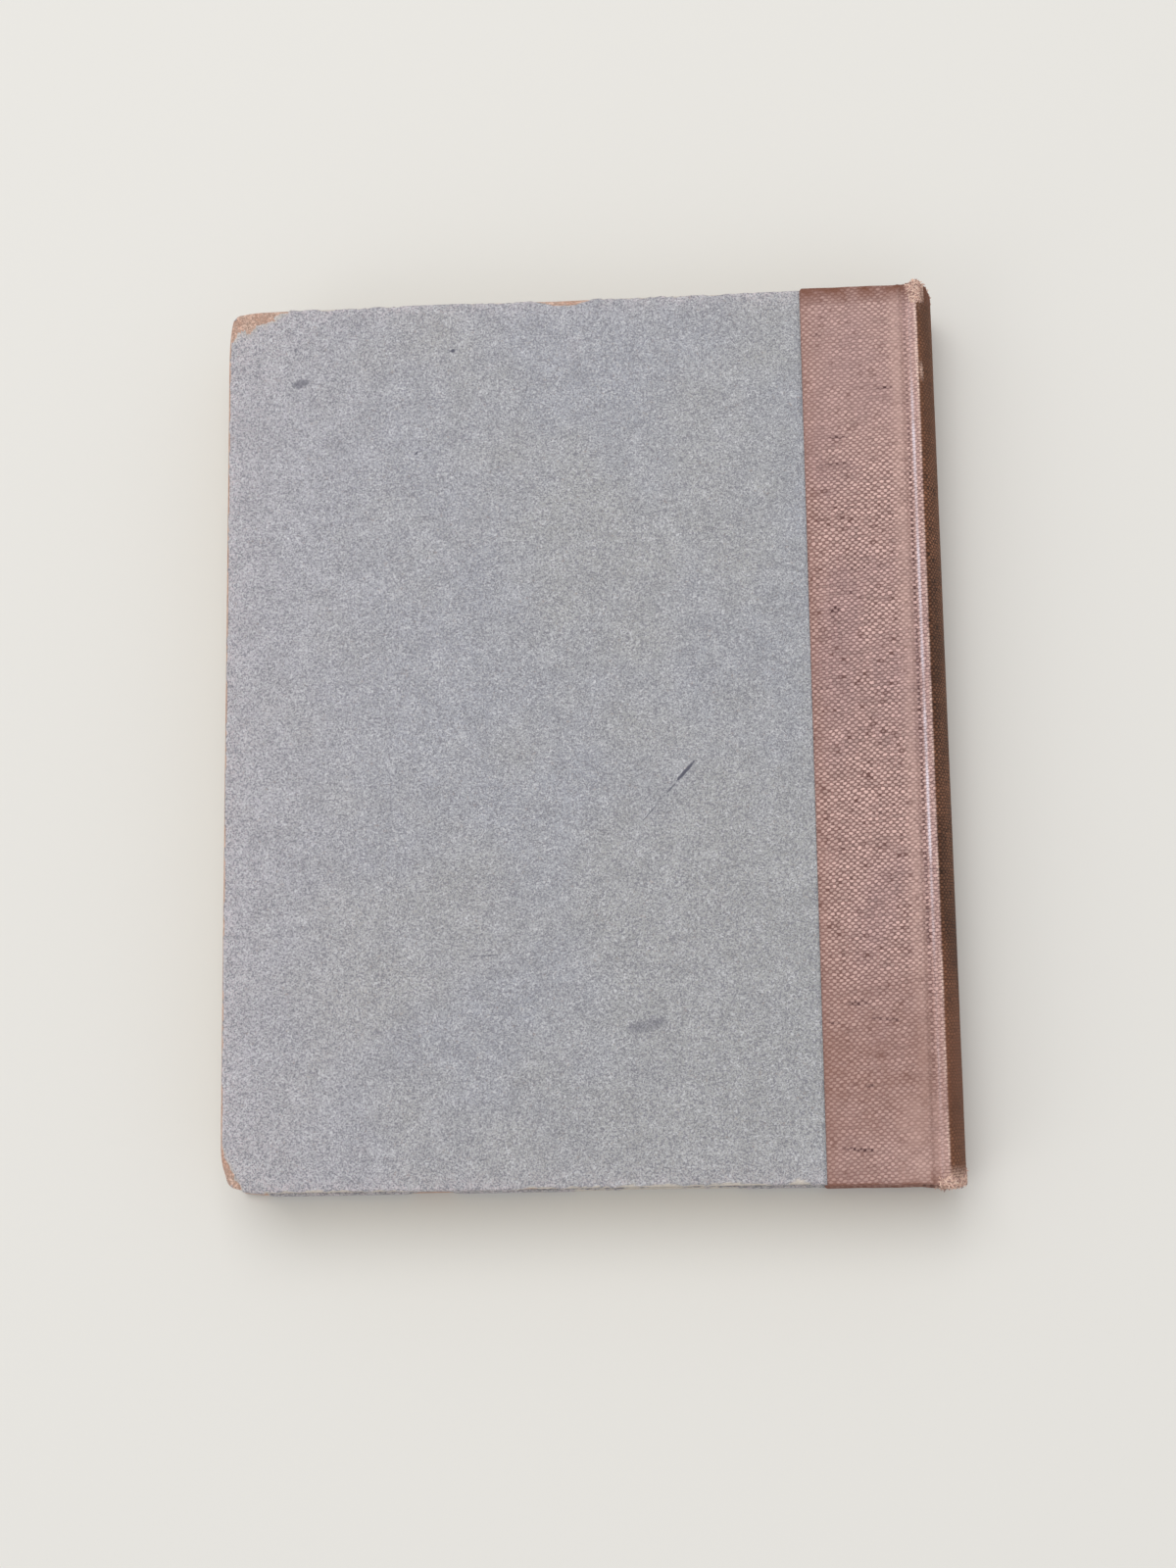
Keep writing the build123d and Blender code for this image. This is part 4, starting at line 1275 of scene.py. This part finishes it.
# Wear of the covers, in millimetres; 1 is the head and -1 the tail. Corners are (end,
# width, depth), chips and flakes (end, middle x, half width, depth), crush (end, amount)
BACK_WEAR = {
    "corners": [(1, 15, 8), (-1, 4.4, 13)],
    "chips": [(1, -3.6, 8, 1.8), (1, -20, 9, 0.4)],
    "flakes": [
        (-1, -60, 16, 0.35), (-1, -12, 5, 0.5), (-1, 13, 22, 0.45), (-1, 34, 9, 0.6),
        (-1, 49, 2.2, 1.3), (1, -60, 14, 0.35), (1, 20, 25, 0.35)],
    "crush": [(1, 0.9), (-1, 2.2)],
    "fore_rub": 0.62,
    "edge_rub": -0.15,
}
FRONT_WEAR = {
    "corners": [(1, 6, 5), (-1, 9, 6)],
    "chips": [(1, 20, 5, 0.6), (-1, -40, 6, 0.7)],
    "flakes": [(1, -30, 18, 0.6), (-1, 15, 20, 0.6)],
    "crush": [(1, 0.45), (-1, 0.6)],
    "fore_rub": 0.2,
    "edge_rub": -0.25,
}

straw_finish = make_material(
    "Strawboard", fibre_look, STRAW, STRAW_DEEP, STRAW_PALE, STRAW_DARK, 0.35, 1.0)
kraft_finish = make_material("Kraft_lining", fibre_look, KRAFT, KRAFT_DARK, CARD, KRAFT_DARK, 0.5)
card_finish = make_material("Grey_card", fibre_look, CARD, CARD_DARK, LEAF_EDGE, KRAFT_DARK, 0.5)
endpaper_finish = make_material("Toned_endpaper", endpaper_look)
gauze_finish = make_material("Glued_gauze", gauze_look)
back_paper = make_material("Blue_grey_paper_marked", paper_look, PAPER_MARKS)
front_paper = make_material("Blue_grey_paper", paper_look, [])
back_canvas = make_material("Terracotta_canvas_marked", cloth_look, CLOTH_MARKS)
front_canvas = make_material("Terracotta_canvas", cloth_look, [])

SIDES = (
    ("back", 1, BACK_WEAR, back_paper, back_canvas, "back_cloth spine_cloth"),
    ("front", -1, FRONT_WEAR, front_paper, front_canvas, "front_cloth"),
)
for label, side, worn, paper_finish, cloth_finish, cloth_nodes in SIDES:
    cover = label + "_cover"
    side_paper(label + "_paper_side", label + "_side_paper", cover, side, worn, paper_finish)
    board(label + "_strawboard", label + "_board", cover, side, worn, straw_finish)
    case_cloth(label + "_case_cloth", cloth_nodes, side, cloth_finish)
    flyleaf(label + "_free_endpaper", label + "_flyleaf", side, endpaper_finish)
    pastedown(label + "_pasted_endpaper", label + "_pastedown", side, endpaper_finish)
page_leaves("sewn_leaves", "page_block", make_material("Leaf_edges", leaf_look))
frayed_threads("frayed_cloth_ends", make_material("Frayed_thread", thread_look))

CAD_FINISHES = {
    "mull": gauze_finish, "back_mull_wing": gauze_finish, "front_mull_wing": gauze_finish,
    "spine_lining": kraft_finish, "spine_inlay": card_finish,
}
for node, finish in CAD_FINISHES.items():
    for slot in bpy.data.objects[node].material_slots:
        slot.material = finish


# Floor, light and camera


def seen_directly(tree):
    """1 for what the camera sees, straight or in a gloss, and 0 for what lights the book."""
    path = add(tree, "ShaderNodeLightPath").outputs
    seen = larger(path["Is Camera Ray"], path["Is Glossy Ray"])
    return larger(seen, path["Is Transmission Ray"])


def floor_finish():
    """A matt pale floor that turns to its own plain colour far from the book."""
    material, tree, shader, place = new_material("Pale_floor")
    matt = fill(shader, Base_Color=FLOOR, Roughness=0.9, Specular_IOR_Level=0.1)[0]
    flat = split(place)
    away = calculate("SQRT", plus(times(flat[0], flat[0]), times(flat[1], flat[1])))
    glow = fill(add(tree, "ShaderNodeEmission"), Color=FLOOR)[0]
    far = times(ramp(away, 0.3, 1.2), seen_directly(tree))
    fill(tree.nodes["Material Output"], Surface=fed("ShaderNodeMixShader", far, matt, glow))
    return material


def soft_light(name, place, size, power):
    """A square lamp at place that points at the book."""
    lamp = bpy.data.lights.new(name, "AREA")
    lamp.size, lamp.energy = size, power
    holder = bpy.data.objects.new(name, lamp)
    bpy.context.scene.collection.objects.link(holder)
    turned = (-Vector(place)).to_track_quat("-Z", "Y").to_matrix().to_4x4()
    holder.matrix_world = Matrix.Translation(place) @ turned


floor_half, floor_gap = 8.0, 0.00012
floor_corners = np.array([(-1, -1, 0), (1, -1, 0), (1, 1, 0), (-1, 1, 0)]) * floor_half
floor_corners[:, 2] = -MIDDLE - floor_gap
make_piece("floor", floor_corners, [(0, 1, 2, 3)], floor_finish())

world = bpy.data.worlds.new("Studio")
bpy.context.scene.world = world
world.use_nodes = True
seen = seen_directly(world.node_tree)
sky = world.node_tree.nodes["Background"]
fill(sky, Color=mix(seen, (1, 1, 1, 1), FLOOR), Strength=larger(seen, 0.64))

soft_light("overhead", (-0.3, 0.8, 2.2), 1.8, 26)
soft_light("low_fill", (-1.6, -1.2, 1.4), 1.2, 5)

# The photograph's camera, fitted to the back cover's corners
camera_data = bpy.data.cameras.new("View")
camera_data.sensor_width = 36
camera_data.lens = 58.5
camera = bpy.data.objects.new("View", camera_data)
bpy.context.scene.collection.objects.link(camera)
camera.matrix_world = Matrix((
    (0.99774, 0.02654, 0.06174, 0.0390),
    (-0.01478, 0.98289, -0.18361, -0.1275),
    (-0.06555, 0.18228, 0.98106, 0.6331),
    (0, 0, 0, 1),
))
bpy.context.scene.camera = camera
bpy.context.scene.view_settings.view_transform = "Standard"
